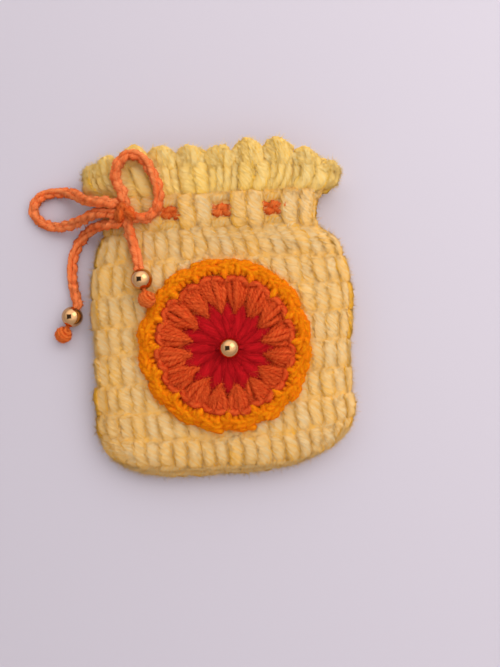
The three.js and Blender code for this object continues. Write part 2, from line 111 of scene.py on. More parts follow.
def unit(vectors: Array) -> Array:
    """Vectors scaled to length one."""
    return vectors / np.maximum(np.linalg.norm(vectors, axis=-1, keepdims=True), 1e-12)


def profile(knots: Profile, at: Array) -> Array:
    """Values along a line through (place, value) knots."""
    places, values = zip(*knots)
    return np.interp(at, places, values)


def keyed_cubic(keys: Array, rows: Array, at: Array) -> Array:
    """Smooth rows of values between keyed rows.

    Args:
        keys: The places that have a row, rising.
        rows: One row of values for each key.
        at: The places to find values for.

    Returns:
        One row of values for each place.
    """
    right = np.clip(np.searchsorted(keys, at, side="right"), 1, len(keys) - 1)
    left = right - 1
    before = np.where(left == 0, right, left - 1)
    after = np.where(right == len(keys) - 1, left, right + 1)
    start, end = keys[left], keys[right]
    half = (end - start) / 2
    pull_before = half / (start - keys[before])
    pull_after = half / (keys[after] - end)
    p = (at - start) / (end - start)
    weights = (
        -pull_before * p**3 + 2 * pull_before * p**2 - pull_before * p,
        (1 + pull_before) * p**3 - (1.5 + 2 * pull_before) * p**2 + (pull_before - 0.5) * p + 1,
        -(1 + pull_after) * p**3 + (1.5 + pull_after) * p**2 + 0.5 * p,
        pull_after * p**3 - pull_after * p**2,
    )
    return sum(w[:, None] * rows[i] for w, i in zip(weights, (before, left, right, after)))


def smooth_route(points: Sequence[Point], spacing: float) -> Array:
    """A smooth curve through a route's points, as evenly spaced points.

    Args:
        points: The points that the route goes through, in mm.
        spacing: About how far apart the new points lie, in mm.

    Returns:
        The new points, first and last included.
    """
    route = np.array(points, float)
    route = np.vstack([2 * route[0] - route[1], route, 2 * route[-1] - route[-2]])
    gaps = np.sqrt(np.linalg.norm(np.diff(route, axis=0), axis=1))
    p = np.linspace(0, 1, SPAN_STEPS)[:, None]
    pieces = []
    for i in range(1, len(route) - 2):
        a, b, c, d = route[i - 1 : i + 3]
        ga, gb, gc = gaps[i - 1 : i + 2]
        leave = gb * ((b - a) / ga - (c - a) / (ga + gb) + (c - b) / gb)
        arrive = gb * ((c - b) / gb - (d - b) / (gb + gc) + (d - c) / gc)
        bend = -3 * b + 3 * c - 2 * leave - arrive
        pieces.append(b + leave * p + bend * p**2 + (2 * b - 2 * c + leave + arrive) * p**3)
    dense = np.vstack(pieces)
    travel = travelled(dense)
    places = np.linspace(0, travel[-1], max(2, round(travel[-1] / spacing) + 1))
    return np.stack([np.interp(places, travel, dense[:, axis]) for axis in range(3)], -1)


def travelled(points: Array) -> Array:
    """The distance travelled to each point of a line, starting at 0."""
    steps = np.linalg.norm(np.diff(points, axis=-2), axis=-1)
    start = np.zeros(steps.shape[:-1] + (1,))
    return np.concatenate([start, np.cumsum(steps, axis=-1)], axis=-1)


def carried_up(route: Array, first: Point) -> Array:
    """An upward direction carried along a route without twisting.

    Args:
        route: The route's points.
        first: The direction at the route's start.

    Returns:
        One unit direction for each point, square to the route.
    """
    ups = []
    up = np.array(first, float)
    for ahead in unit(np.gradient(route, axis=0)):
        up = unit(up - ahead * (up @ ahead))
        ups.append(up)
    return np.array(ups)


def linear(colour: Sequence[float]) -> tuple[float, float, float, float]:
    """A screen colour of 0 to 255 as a shader's colour."""
    shares = (c / 255 for c in colour)
    return (*(s / 12.92 if s <= 0.04045 else ((s + 0.055) / 1.055) ** 2.4 for s in shares), 1.0)


# Finishes


@dataclass
class Nodes:
    """A shader's nodes, with a short way to add and link them."""

    tree: bpy.types.NodeTree

    def add(self, kind: str, settings: dict | None = None, **inputs: object) -> bpy.types.Node:
        """Adds a node.

        Args:
            kind: The node's type, without its ShaderNode prefix.
            settings: Values for the node's own properties.
            inputs: A value or a socket to link for each named input; i0, i1... go by number.

        Returns:
            The new node.
        """
        node = self.tree.nodes.new("ShaderNode" + kind)
        for name, value in (settings or {}).items():
            setattr(node, name, value)
        for name, value in inputs.items():
            number = int(name[1:]) if name[1:].isdigit() else None
            socket = node.inputs[name.replace("_", " ") if number is None else number]
            if isinstance(value, bpy.types.NodeSocket):
                self.tree.links.new(value, socket)
            else:
                socket.default_value = value
        return node

    def math(self, operation: str, *values: object) -> Socket:
        """A math node's result for up to three values or sockets."""
        inputs = {f"i{i}": value for i, value in enumerate(values)}
        return self.add("Math", {"operation": operation}, **inputs).outputs[0]

    def clamp(self, value: Socket) -> Socket:
        """A value held between 0 and 1."""
        return self.math("MINIMUM", self.math("MAXIMUM", value, 0.0), 1.0)

    def along(self, vector: Socket, direction: Point) -> Socket:
        """How far a vector reaches along a direction."""
        dot = self.add("VectorMath", {"operation": "DOT_PRODUCT"}, i0=vector, i1=direction)
        return dot.outputs["Value"]

    def blend(self, share: Socket, low: Sequence[float], high: Sequence[float]) -> Socket:
        """A colour between two screen colours, for a share of 0 to 1."""
        shades = {"i6": linear(low), "i7": linear(high)}
        return self.add("Mix", {"data_type": "RGBA"}, i0=share, **shades).outputs[2]

    def ramp(self, value: Socket, ramp: Ramp) -> Socket:
        """A smooth change of level.

        Args:
            value: The value that the level follows.
            ramp: The span of values over which it changes, and the levels at the span's two ends.

        Returns:
            The level.
        """
        (start, end), (low, high) = ramp
        inputs = {"Value": value, "i1": start, "i2": end, "i3": low, "i4": high}
        return self.add("MapRange", {"interpolation_type": "SMOOTHSTEP"}, **inputs).outputs[0]


def new_material(name: str) -> tuple[bpy.types.Material, Nodes, bpy.types.Node]:
    """A new node material.

    Args:
        name: The material's name.

    Returns:
        The material, its nodes and its surface shader.
    """
    material = bpy.data.materials.new(name)
    material.use_nodes = True
    nodes = Nodes(material.node_tree)
    return material, nodes, material.node_tree.nodes["Principled BSDF"]


@dataclass(frozen=True)
class YarnFinish:
    """Matt cotton yarn with fibres along each ply, its colour painted lighter on the plies and shaded between
    them.

    A point's level runs from the shaded colour to the light one. The fields fibre, ply, cloud and tint say
    how far it moves with the fibres, the painted shade between plies, soft clouds and the strand's own tint,
    and crest is the level on top of a ply. The whole level is scaled by each point's painted light.
    """

    slot: str
    light: Point
    deep_and_shaded: Point
    fibre: float = 1.1
    ply: float = 0.43
    cloud: float = 0.3
    tint: float = 0.25
    crest: float = 0.85
    fibre_scale: Point = (0.2, 1.7, 1.7)
    cloud_scale: float = 85.0
    bump: float = 0.8
    bump_depth: float = 0.6
    roughness: float = 0.95
    specular: float = 0.15
    sheen: float = 0.45
    sheen_roughness: float = 0.6
    shade: str = ""

    @property
    def name(self) -> str:
        """The shader's name."""
        return f"{self.slot}{self.shade}_finish"

    def material(self) -> bpy.types.Material:
        """The yarn's shader, made once."""
        return bpy.data.materials.get(self.name) or self._make()

    def _make(self) -> bpy.types.Material:
        """Builds the yarn's shader.

        Returns:
            The new material.
        """
        material, nodes, surface = new_material(self.name)
        yarn = nodes.add("Attribute", {"attribute_name": "yarn"}).outputs["Vector"]
        tone_and_shade = nodes.add("Attribute", {"attribute_name": "tone_and_shade"}).outputs["Color"]
        tint, ridge, painted_light = nodes.add("SeparateColor", Color=tone_and_shade).outputs
        along = nodes.add("Mapping", Vector=yarn, Scale=self.fibre_scale).outputs[0]
        fibres = nodes.add("TexNoise", Vector=along, Scale=1.0, Detail=3.0, Roughness=0.6).outputs["Fac"]
        place = nodes.add("TexCoord").outputs["Object"]
        cloud = nodes.add("TexNoise", Vector=place, Scale=self.cloud_scale, Detail=2.0).outputs["Fac"]
        # Painted shade: the level is lower in the valleys between plies and where a point carries less
        # painted light.
        level = nodes.math("MULTIPLY_ADD", ridge, self.ply, self.crest - self.ply)
        level = nodes.math("MULTIPLY", level, painted_light)
        for value, share in ((fibres, self.fibre), (cloud, self.cloud), (tint, self.tint)):
            level = nodes.math("MULTIPLY_ADD", nodes.math("SUBTRACT", value, 0.5), share, level)
        colour = nodes.blend(nodes.clamp(level), self.deep_and_shaded, self.light)
        bump = nodes.add("Bump", Strength=self.bump, Distance=self.bump_depth * MM, Height=fibres)
        nodes.tree.links.new(colour, surface.inputs["Base Color"])
        nodes.tree.links.new(bump.outputs[0], surface.inputs["Normal"])
        surface.inputs["Roughness"].default_value = self.roughness
        surface.inputs["Specular IOR Level"].default_value = self.specular
        surface.inputs["Sheen Weight"].default_value = self.sheen
        surface.inputs["Sheen Roughness"].default_value = self.sheen_roughness
        surface.inputs["Sheen Tint"].default_value = linear(self.deep_and_shaded)
        return material


@dataclass(frozen=True)
class GoldFinish:
    """Polished gold-coloured plating with faint handling marks."""

    slot: str
    colour: Point
    roughness: float = 0.09
    mark_scale: float = 900.0
    mark_roughness: float = 0.08
    mark_bump: float = 0.06
    mark_depth: float = 0.05

    @property
    def name(self) -> str:
        """The shader's name."""
        return f"{self.slot}_finish"

    def material(self) -> bpy.types.Material:
        """The plating's shader, made once."""
        return bpy.data.materials.get(self.name) or self._make()

    def _make(self) -> bpy.types.Material:
        """Builds the plating's shader.

        Returns:
            The new material.
        """
        material, nodes, surface = new_material(self.name)
        place = nodes.add("TexCoord").outputs["Object"]
        marks = nodes.add("TexNoise", Vector=place, Scale=self.mark_scale, Detail=3.0).outputs["Fac"]
        least = self.roughness - self.mark_roughness / 2
        rough = nodes.math("MULTIPLY_ADD", marks, self.mark_roughness, least)
        bump = nodes.add("Bump", Strength=self.mark_bump, Distance=self.mark_depth * MM, Height=marks)
        nodes.tree.links.new(rough, surface.inputs["Roughness"])
        nodes.tree.links.new(bump.outputs[0], surface.inputs["Normal"])
        surface.inputs["Base Color"].default_value = linear(self.colour)
        surface.inputs["Metallic"].default_value = 1.0
        return material


YELLOW = YarnFinish("yarn_yellow", (231, 202, 149), (249, 181, 50), fibre=1.3, ply=0.3)
# The frill's yarn: a lighter copy of the body's yarn, painted light for the brighter light that falls on the
# frill.
LIT_FRILL_YELLOW = replace(YELLOW, shade="_frill", light=(244, 215, 144), deep_and_shaded=(255, 200, 72))
ORANGE = YarnFinish("yarn_orange", (255, 158, 94), (244, 112, 50))
# A duller copy of the cord's orange: on the knot it is painted shade where the turns of cord overlap, and the
# yarn balls and the neck cord take it as their deeper orange.
DEEP_AND_SHADED_ORANGE = replace(ORANGE, shade="_knot", light=(242, 132, 60), deep_and_shaded=(218, 86, 22))
PETAL = YarnFinish("yarn_petal_orange", (242, 106, 46), (206, 54, 8))
AMBER = YarnFinish("yarn_amber", (255, 164, 6), (255, 117, 0), sheen=0.6)
RED = YarnFinish("yarn_red", (198, 17, 25), (146, 5, 10), fibre=1.5)
GOLD = GoldFinish("bead_gold", (208, 160, 108))


# Meshes


@dataclass
class Piece:
    """A finished piece: a mesh at the origin that rides with the pouch."""

    name: str
    finish: YarnFinish | GoldFinish
    stands_for: tuple[str, ...]

    def dress(self, obj: bpy.types.Object) -> bpy.types.Object:
        """Gives an object its finish and its place on the pouch.

        Args:
            obj: The object that holds the finished mesh.

        Returns:
            The same object.
        """
        obj.name = self.name
        obj.data.name = self.name
        obj.data.materials.clear()
        obj.data.materials.append(self.finish.material())
        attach(obj, "root")
        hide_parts(*self.stands_for)
        obj.data.calc_loop_triangles()
        log.info("%s: %d triangles", self.name, len(obj.data.loop_triangles))
        return obj


def mesh_object(
    name: str, points: Array, quads: Array, tris: Array, layers: dict[str, Array]
) -> bpy.types.Object:
    """A smooth mesh from arrays, with its values for the yarn's shader.

    Args:
        name: The object's name.
        points: The mesh's points, in mm.
        quads: The four-sided faces, as point numbers.
        tris: The three-sided faces, as point numbers.
        layers: Three or four values for each point, by name.

    Returns:
        The new object.
    """
    mesh = bpy.data.meshes.new(name)
    corners = np.concatenate([quads.ravel(), tris.ravel()]).astype(np.int32)
    sizes = np.concatenate([np.full(len(quads), 4), np.full(len(tris), 3)])
    starts = np.concatenate([[0], np.cumsum(sizes)[:-1]]).astype(np.int32)
    mesh.vertices.add(len(points))
    mesh.vertices.foreach_set("co", (points * MM).astype(np.float32).ravel())
    mesh.loops.add(len(corners))
    mesh.loops.foreach_set("vertex_index", corners)
    mesh.polygons.add(len(starts))
    mesh.polygons.foreach_set("loop_start", starts)
    mesh.polygons.foreach_set("use_smooth", np.ones(len(starts), bool))
    for layer, values in layers.items():
        is_colour = values.shape[1] == 4
        made = mesh.attributes.new(layer, "FLOAT_COLOR" if is_colour else "FLOAT_VECTOR", "POINT")
        made.data.foreach_set("color" if is_colour else "vector", values.astype(np.float32).ravel())
    mesh.update(calc_edges=True)
    obj = bpy.data.objects.new(name, mesh)
    bpy.context.scene.collection.objects.link(obj)
    return obj


@dataclass(frozen=True)
class Twist:
    """How finely a strand is made and how its plies turn.

    The fields are the rings along it, its plies, the points to a ply, the mm to a turn, the depth of the
    grooves between plies, how square its section is (1 is an oval) and how lumpy it is.
    """

    rings: int
    plies: int
    per_ply: int
    pitch: float
    groove: float = 0.17
    square: float = 1.0
    lump: float = 0.06


@dataclass(frozen=True)
class FibreEnds:
    """How loose fibre ends stand out of a strand.

    The fields are how far up a point faces to grow one, how far they stand up and stray, how unlike their
    lengths are, the longest length, how far their feet are sunk in mm, the range of painted light drawn for
    them at random, how far they face with the strand's top, and how far their shading follows that.
    """

    facing: float = 0.1
    raised: Pair = (0.3, 1.1)
    stray: float = 0.35
    unlike: float = 0.4
    longest: float = 2.0
    sunk: float = 0.12
    painted_light_range: Pair = (0.3, 1.1)
    top_share: float = 1.2
    turned: float = 50.0


@dataclass(frozen=True)
class StrandShade:
    """Painted shade on a strand: its colour is painted lighter where its points stand in the open, its top
    more than its sides, and sides that face up more.

    The fields are the slope and start from side to top, the gain and start of what faces up, the least
    painted light, and the tint, ply level and painted light of a strand's two ends, whose middles are painted
    in full shade.
    """

    slope: float = 2.6
    start: float = -1.5
    up_gain: float = 2.0
    up_from: float = 0.2
    least: float = 0.08
    ends: tuple[float, float, float, float] = (0.5, 0.5, 0.0, 1.0)


ENDS = FibreEnds()
SHADE = StrandShade()
# The spread of strands' pitch, the range of their grooves, and the mm of a reel that a strand may start along
PITCH_SPREAD = 0.1
GROOVE_RANGE = (0.4, 1.6)
REEL = 500.0


@dataclass
class Skein:
    """Yarn strands and their loose fibre ends, gathered into one mesh.

    The fields fuzz, hair and fibre are the number, length and half thickness of the fibre ends, floor is the
    lowest height in mm, and soften is how far the shading of a strand's sides turns to its top.
    """

    seed: int
    fuzz: float = 5.5
    hair: float = 1.8
    fibre: float = 0.075
    floor: float = 0.06
    soften: float = 0.0
    points: list[Array] = field(default_factory=list)
    quads: list[Array] = field(default_factory=list)
    tris: list[Array] = field(default_factory=list)
    yarn: list[Array] = field(default_factory=list)
    tone_and_shade: list[Array] = field(default_factory=list)
    facing: list[Array] = field(default_factory=list)
    total: int = 0

    def __post_init__(self) -> None:
        """Starts the skein's own run of random numbers."""
        self.random = np.random.default_rng(self.seed)

    def strands(
        self,
        path: Array,
        up: Array,
        across: Array | float,
        thick: Array | float,
        twist: Twist,
        depth: Array | float = 1.0,
    ) -> None:
        """Adds plied strands of an oval section, closed at both ends.

        Args:
            path: Each strand's middle line in mm, as (strand, ring, xyz).
            up: The direction that each strand's top faces, in the same layout.
            across: Half the strand's width at each ring.
            thick: Half the strand's thickness at each ring.
            twist: How the strand is plied.
            depth: The painted light of each ring, from 0 in full painted shade to 1 out in the open.
        """
        count, rings = path.shape[:2]
        sides = twist.plies * twist.per_ply
        ahead = unit(np.gradient(path, axis=1))
        side = unit(np.cross(ahead, up))
        top = np.cross(side, ahead)
        length = travelled(path)
        corner = np.arange(sides)
        pitch = twist.pitch * self.random.normal(1.0, PITCH_SPREAD, (count, 1))
        turn = 2 * np.pi * length / pitch + self.random.uniform(0, 2 * np.pi, (count, 1))
        angle = turn[:, :, None] + 2 * np.pi * corner / sides
        valley = (1 - np.sin(np.pi * (corner % twist.per_ply) / twist.per_ply)) ** 2
        groove = self.random.uniform(*GROOVE_RANGE, (count, twist.plies)).repeat(twist.per_ply, 1)
        ripple = (1 + 0.3 * twist.groove - valley * (twist.groove * groove))[:, None, :]
        ripple = ripple + twist.lump * self._lumps(angle.shape)
        cosine, sine = np.cos(angle), np.sin(angle)
        flat = np.sign(cosine) * np.abs(cosine) ** twist.square * ripple
        proud = np.sign(sine) * np.abs(sine) ** twist.square * ripple
        flat = flat * np.broadcast_to(across, (count, rings))[:, :, None]
        proud = proud * np.broadcast_to(thick, (count, rings))[:, :, None]
        skin = path[:, :, None] + side[:, :, None] * flat[..., None] + top[:, :, None] * proud[..., None]
        points = np.concatenate([skin.reshape(-1, 3), path[:, 0], path[:, -1]])
        points[:, 2] = np.maximum(points[:, 2], self.floor)
        self._faces(count, rings, sides)
        self.points.append(points)
        bend = self.soften * np.clip(2 * sine + 1, -1, 1)
        facing = (bend[..., None] * top[:, :, None]).reshape(-1, 3)
        self.facing.append(np.concatenate([facing, np.zeros((2 * count, 3))]))
        # Painted shade: a point's colour is painted lighter on the strand's top and on sides that face up,
        # and shaded on its other sides and on low rings.
        upward = np.clip(unit(skin - path[:, :, None])[..., 2] - SHADE.up_from, 0, 1)
        upward = upward * (1 - np.abs(top[..., 2]))[:, :, None]
        painted_facing_light = np.clip(SHADE.slope * np.abs(sine) + SHADE.start + SHADE.up_gain * upward, SHADE.least, 1)
        painted_light = np.broadcast_to(depth, (count, rings))[:, :, None] * painted_facing_light
        self._values(length, valley, painted_light, across)
        self.total += len(points)
        area = float(np.mean(across) + np.mean(thick)) * float(length[:, -1].mean())
        self._fibres(skin, path, ahead, top, sine, area)

    def _lumps(self, shape: tuple[int, ...]) -> Array:
        """Smooth random unevenness over a batch of strands.

        Args:
            shape: The number of strands, rings and points to a ring.

        Returns:
            A value of about -1 to 1 for each point.
        """
        lumps = self.random.normal(0.0, 1.0, shape)
        lumps = lumps + np.roll(lumps, 1, axis=2) + np.roll(lumps, -1, axis=2)
        lumps[:, 1:-1] = (lumps[:, :-2] + lumps[:, 1:-1] + lumps[:, 2:]) / 1.8
        return lumps / 1.8

    def _fibres(self, skin: Array, path: Array, ahead: Array, top: Array, sine: Array, area: float) -> None:
        """Adds loose fibre ends: thin closed spikes that lean out of the strands.

        Args:
            skin: The strands' points, as (strand, ring, side, xyz).
            path: The strands' middle lines.
            ahead: The strands' directions.
            top: The directions that the strands' tops face.
            sine: How far each point faces up, from -1 to 1.
            area: About a third of a strand's surface, in square mm.
        """
        count, rings, sides = sine.shape
        total = round(self.fuzz * area * count)
        if not total:
            return
        strand = self.random.integers(0, count, total)
        ring = self.random.integers(1, rings - 1, total)
        side = self.random.integers(0, sides, total)
        kept = sine[strand, ring, side] > ENDS.facing
        strand, ring, side = strand[kept], ring[kept], side[kept]
        total = len(strand)
        root = skin[strand, ring, side]
        out = unit(root - path[strand, ring])
        lean = self.random.normal(0.0, 1.0, (total, 1)) * ahead[strand, ring]
        raised = out * self.random.uniform(*ENDS.raised, (total, 1))
        way = unit(raised + lean + self.random.normal(0.0, ENDS.stray, (total, 3)))
        length = self.hair * np.minimum(self.random.lognormal(0.0, ENDS.unlike, (total, 1)), ENDS.longest)
        first = unit(np.cross(way, out + (0.01, 0.02, 0.03)))
        second = np.cross(way, first)
        turns = 2 * np.pi * np.arange(3) / 3
        ring_of = first[:, None] * np.cos(turns)[:, None] + second[:, None] * np.sin(turns)[:, None]
        foot = (root - ENDS.sunk * out)[:, None] + self.fibre * ring_of
        points = np.concatenate([foot, (root + way * length)[:, None]], axis=1).reshape(-1, 3)
        points[:, 2] = np.maximum(points[:, 2], self.floor)
        at = self.total + 4 * np.arange(total)[:, None]
        for corners in ((0, 1, 3), (1, 2, 3), (2, 0, 3), (0, 2, 1)):
            self.tris.append(at + np.array(corners))
        tone_and_shade = np.ones((total, 4, 4))
        tone_and_shade[..., 0] = self.random.uniform(0, 1, (total, 1))
        # Each fibre end is painted with a random share of light, from shaded golden to fully lit.
        tone_and_shade[..., 2] = self.random.uniform(*ENDS.painted_light_range, (total, 1))
        self.points.append(points)
        turned = ENDS.turned * unit(out + ENDS.top_share * top[strand, ring])
        self.facing.append(turned.repeat(4, axis=0))
        self.yarn.append(points * (1.0, 0.1, 0.1))
        self.tone_and_shade.append(tone_and_shade.reshape(-1, 4))
        self.total += len(points)

    def _faces(self, count: int, rings: int, sides: int) -> None:
        """Adds the faces of a batch of strands.

        Args:
            count: How many strands there are.
            rings: The rings on each strand.
            sides: The points on each ring.
        """
        first = self.total + np.arange(count * rings * sides).reshape(count, rings, sides)
        after = np.roll(first, -1, axis=2)
        quads = np.stack([first[:, :-1], first[:, 1:], after[:, 1:], after[:, :-1]], -1)
        starts = self.total + count * rings * sides + np.arange(count)[:, None].repeat(sides, 1)
        ends = starts + count
        self.quads.append(quads.reshape(-1, 4))
        self.tris.append(np.stack([starts, first[:, 0], after[:, 0]], -1).reshape(-1, 3))
        self.tris.append(np.stack([ends, after[:, -1], first[:, -1]], -1).reshape(-1, 3))

    def _values(self, length: Array, valley: Array, painted_light: Array, across: Array | float) -> None:
        """Adds the shader's values for a batch of strands.

        Args:
            length: The distance along each strand at each ring.
            valley: How deep each point of a ring lies between two plies, from 0 to 1.
            painted_light: How light each point's colour is painted for how far it stands in the open, from 0
                in painted shade to 1.
            across: Half the strand's width.
        """
        count, rings, sides = painted_light.shape
        radius = float(np.mean(across))
        spread = 2 * np.pi * np.arange(sides) / sides
        along = length + self.random.uniform(0, REEL, (count, 1))
        yarn = np.empty((count, rings, sides, 3))
        yarn[..., 0] = along[:, :, None]
        yarn[..., 1] = radius * np.cos(spread)
        yarn[..., 2] = radius * np.sin(spread)
        tone_and_shade = np.ones((count, rings, sides, 4))
        tone_and_shade[..., 0] = self.random.uniform(0, 1, (count, 1, 1))
        # Painted shade: the colour is painted lower in the valleys between plies.
        tone_and_shade[..., 1] = 1.0 - valley
        tone_and_shade[..., 2] = painted_light
        # The middle points of the strands' end caps are painted in full shade.
        ends = np.zeros((2 * count, 3))
        dark = np.ones((2 * count, 4)) * SHADE.ends
        self.yarn.append(np.concatenate([yarn.reshape(-1, 3), ends]))
        self.tone_and_shade.append(np.concatenate([tone_and_shade.reshape(-1, 4), dark]))

    def piece(self, piece: Piece) -> bpy.types.Object:
        """The skein as a finished piece.

        Args:
            piece: The piece's name, finish and the solid it stands for.

        Returns:
            The new object.
        """
        layers = {"yarn": np.concatenate(self.yarn), "tone_and_shade": np.concatenate(self.tone_and_shade)}
        faces = (np.concatenate(self.quads), np.concatenate(self.tris))
        obj = mesh_object(piece.name, np.concatenate(self.points), *faces, layers)
        normals = np.empty(3 * self.total, np.float32)
        obj.data.vertices.foreach_get("normal", normals)
        facing = unit(normals.reshape(-1, 3) + np.concatenate(self.facing))
        obj.data.normals_split_custom_set_from_vertices(facing)
        return piece.dress(obj)


# The bag's form and its stitches


@dataclass
class PouchForm:
    """The bag's outer surface: share runs round it from the left edge over the front, level counts rounds."""

    side_power: float = 4.4
    sag_power: float = 4.0
    edge_level: float = 0.45
    press: float = 1.0
    top: float = 11.0
    frill_from: float = 9.0
    shells: int = 19
    shell_phase: float = 0.05
    ruffle: float = 0.9
    rows: int = 331
    columns: int = 480
    section_steps: int = 1441
    front_steps: int = 241
    middle_row: int = 150

    def __post_init__(self) -> None:
        """Works out the surface as a grid of points and directions."""
        levels = np.linspace(0, self.top, self.rows)
        table = np.array(ROUNDS)
        self.points, self.around = self._loops(keyed_cubic(table[:, 0], table[:, 1:], levels))
        shares = np.linspace(0, 1, self.columns + 1)
        wave = np.cos(2 * np.pi * (self.shells * shares - self.shell_phase))
        swell = self.ruffle * np.maximum(0, levels - self.frill_from) / 2
        self.points = self.points + self._outward() * (swell[:, None] * wave)[..., None]
        self.normals = self._outward()

    def _loops(self, sections: Array) -> tuple[Array, Array]:
        """Points round the bag at each level.

        Args:
            sections: One row of section sizes for each level.

        Returns:
            The points as (level, share, xyz), and the distance round at each level.
        """
        left_x, left_y, right_x, right_y, sag, low, high = sections.T[:, :, None]
        angles = np.pi - np.linspace(0, 2 * np.pi, self.section_steps)
        reach = np.sign(np.cos(angles)) * np.abs(np.cos(angles)) ** (2 / self.side_power)
        share = (1 + reach) / 2
        x = left_x + (right_x - left_x) * share
        y = left_y + (right_y - left_y) * share - sag * (1 - np.abs(reach) ** self.sag_power)
        edge = low + self.edge_level * (high - low)
        rise = np.sin(angles)
        back = np.maximum(low, edge + (edge - low + self.press) * rise)
        z = np.where(rise >= 0, edge + (high - edge) * rise, back)
        dense = np.stack([x, y, z], -1)
        travel = travelled(dense)
        shares = np.linspace(0, 1, self.columns + 1)
        rows = [
            np.stack([np.interp(shares * t[-1], t, line[:, axis]) for axis in range(3)], -1)
            for line, t in zip(dense, travel)
        ]
        return np.array(rows), travel[:, -1]

    def _outward(self) -> Array:
        """The outward direction at each point of the grid."""
        ring = self.points[:, :-1]
        around = np.roll(ring, -1, axis=1) - np.roll(ring, 1, axis=1)
        around = np.concatenate([around, around[:, :1]], axis=1)
        return unit(np.cross(around, np.gradient(self.points, axis=0)))

    def at(
        self, share: Array, level: Array | float, out: Array | float = 0.0
    ) -> tuple[Array, Array]:
        """Points on the bag, or off it along its outward direction.

        Args:
            share: How far round the bag, in turns.
            level: How high, in rounds.
            out: How far off the surface, in mm.

        Returns:
            The points and the outward directions there.
        """
        share, level, out = np.broadcast_arrays(share, level, out)
        column = np.mod(share, 1.0) * self.columns
        row = np.clip(level, 0, self.top) / self.top * (self.rows - 1)
        i = np.minimum(column.astype(int), self.columns - 1)
        j = np.minimum(row.astype(int), self.rows - 2)
        fi, fj = (column - i)[..., None], (row - j)[..., None]
        found = []
        for grid in (self.points, self.normals):
            lower = grid[j, i] * (1 - fi) + grid[j, i + 1] * fi
            upper = grid[j + 1, i] * (1 - fi) + grid[j + 1, i + 1] * fi
            found.append(lower * (1 - fj) + upper * fj)
        normals = unit(found[1])
        return found[0] + normals * out[..., None], normals

    def distance_round(self, level: float) -> float:
        """The distance round the bag at a level, in mm."""
        return float(np.interp(level / self.top * (self.rows - 1), np.arange(self.rows), self.around))

    def share_at(self, x: float, level: float) -> float:
        """Where a line of the front with this x lies round the bag."""
        shares = np.linspace(0, 0.5, self.front_steps)
        return float(np.interp(x, self.at(shares, level)[0][:, 0], shares))

    def front_height(self, x: Array, y: Array) -> Array:
        """The height of the front over a point of the floor.

        Args:
            x: The points' x, in mm.
            y: The points' y, in mm.

        Returns:
            The height of the front over each point.
        """
        half = self.columns // 2
        columns = np.clip(np.searchsorted(self.points[self.middle_row, : half + 1, 0], x), 1, half - 1)
        lines = self.points[:, columns]
        row = (lines[..., 1] < y).sum(0)
        row = np.clip(row, 1, self.rows - 1)
        pick = np.arange(x.size)
        y0, y1 = lines[row - 1, pick, 1], lines[row, pick, 1]
        share = np.clip((y - y0) / np.maximum(y1 - y0, 1e-6), 0, 1)
        return lines[row - 1, pick, 2] * (1 - share) + lines[row, pick, 2] * share


class Side(Enum):
    """The two faces of the bag, with the shares round it that each one covers."""

    FRONT = (-0.02, 0.52)
    BACK = (0.52, 0.98)

    def holds(self, shares: Array) -> Array:
        """Which of these shares lie on this face."""
        low, high = self.value
        return np.mod(shares - low, 1.0) < high - low


@dataclass(frozen=True)
class Unevenness:
    """How far stitches worked by hand differ from one another: the spread of each measure."""

    post_lean: float = 0.08
    post_sway: float = 0.035
    post_level: float = 0.015
    post_thick: float = 0.06
    post_lift: float = 0.12
    post_width: float = 0.055
    cap_place: float = 0.06
    cap_tilt: float = 0.03
    cap_level: float = 0.02
    cap_lift: float = 0.15
    cap_size: float = 0.1


UNEVEN = Unevenness()
POST_WIDTH = ((0.0, 0.45), (0.12, 0.52), (0.35, 0.555), (0.6, 0.57), (0.85, 0.56), (1.0, 0.5))
POST_THICK = ((0.0, 0.75), (0.12, 0.95), (0.35, 1.0), (0.7, 1.0), (0.92, 0.97), (1.0, 0.75))
POST_TWIST = {
    Side.FRONT: Twist(14, 9, 2, 24.0, 0.1, 0.5, 0.065),
    Side.BACK: Twist(9, 7, 2, 17.0, 0.07, 0.55),
}
CAP_TWIST = {Side.FRONT: Twist(9, 5, 2, 9.0, 0.09), Side.BACK: Twist(7, 4, 2, 9.0, 0.09)}
FUZZ = {Side.FRONT: 7.5, Side.BACK: 2.5}
SOFTEN = 0.9


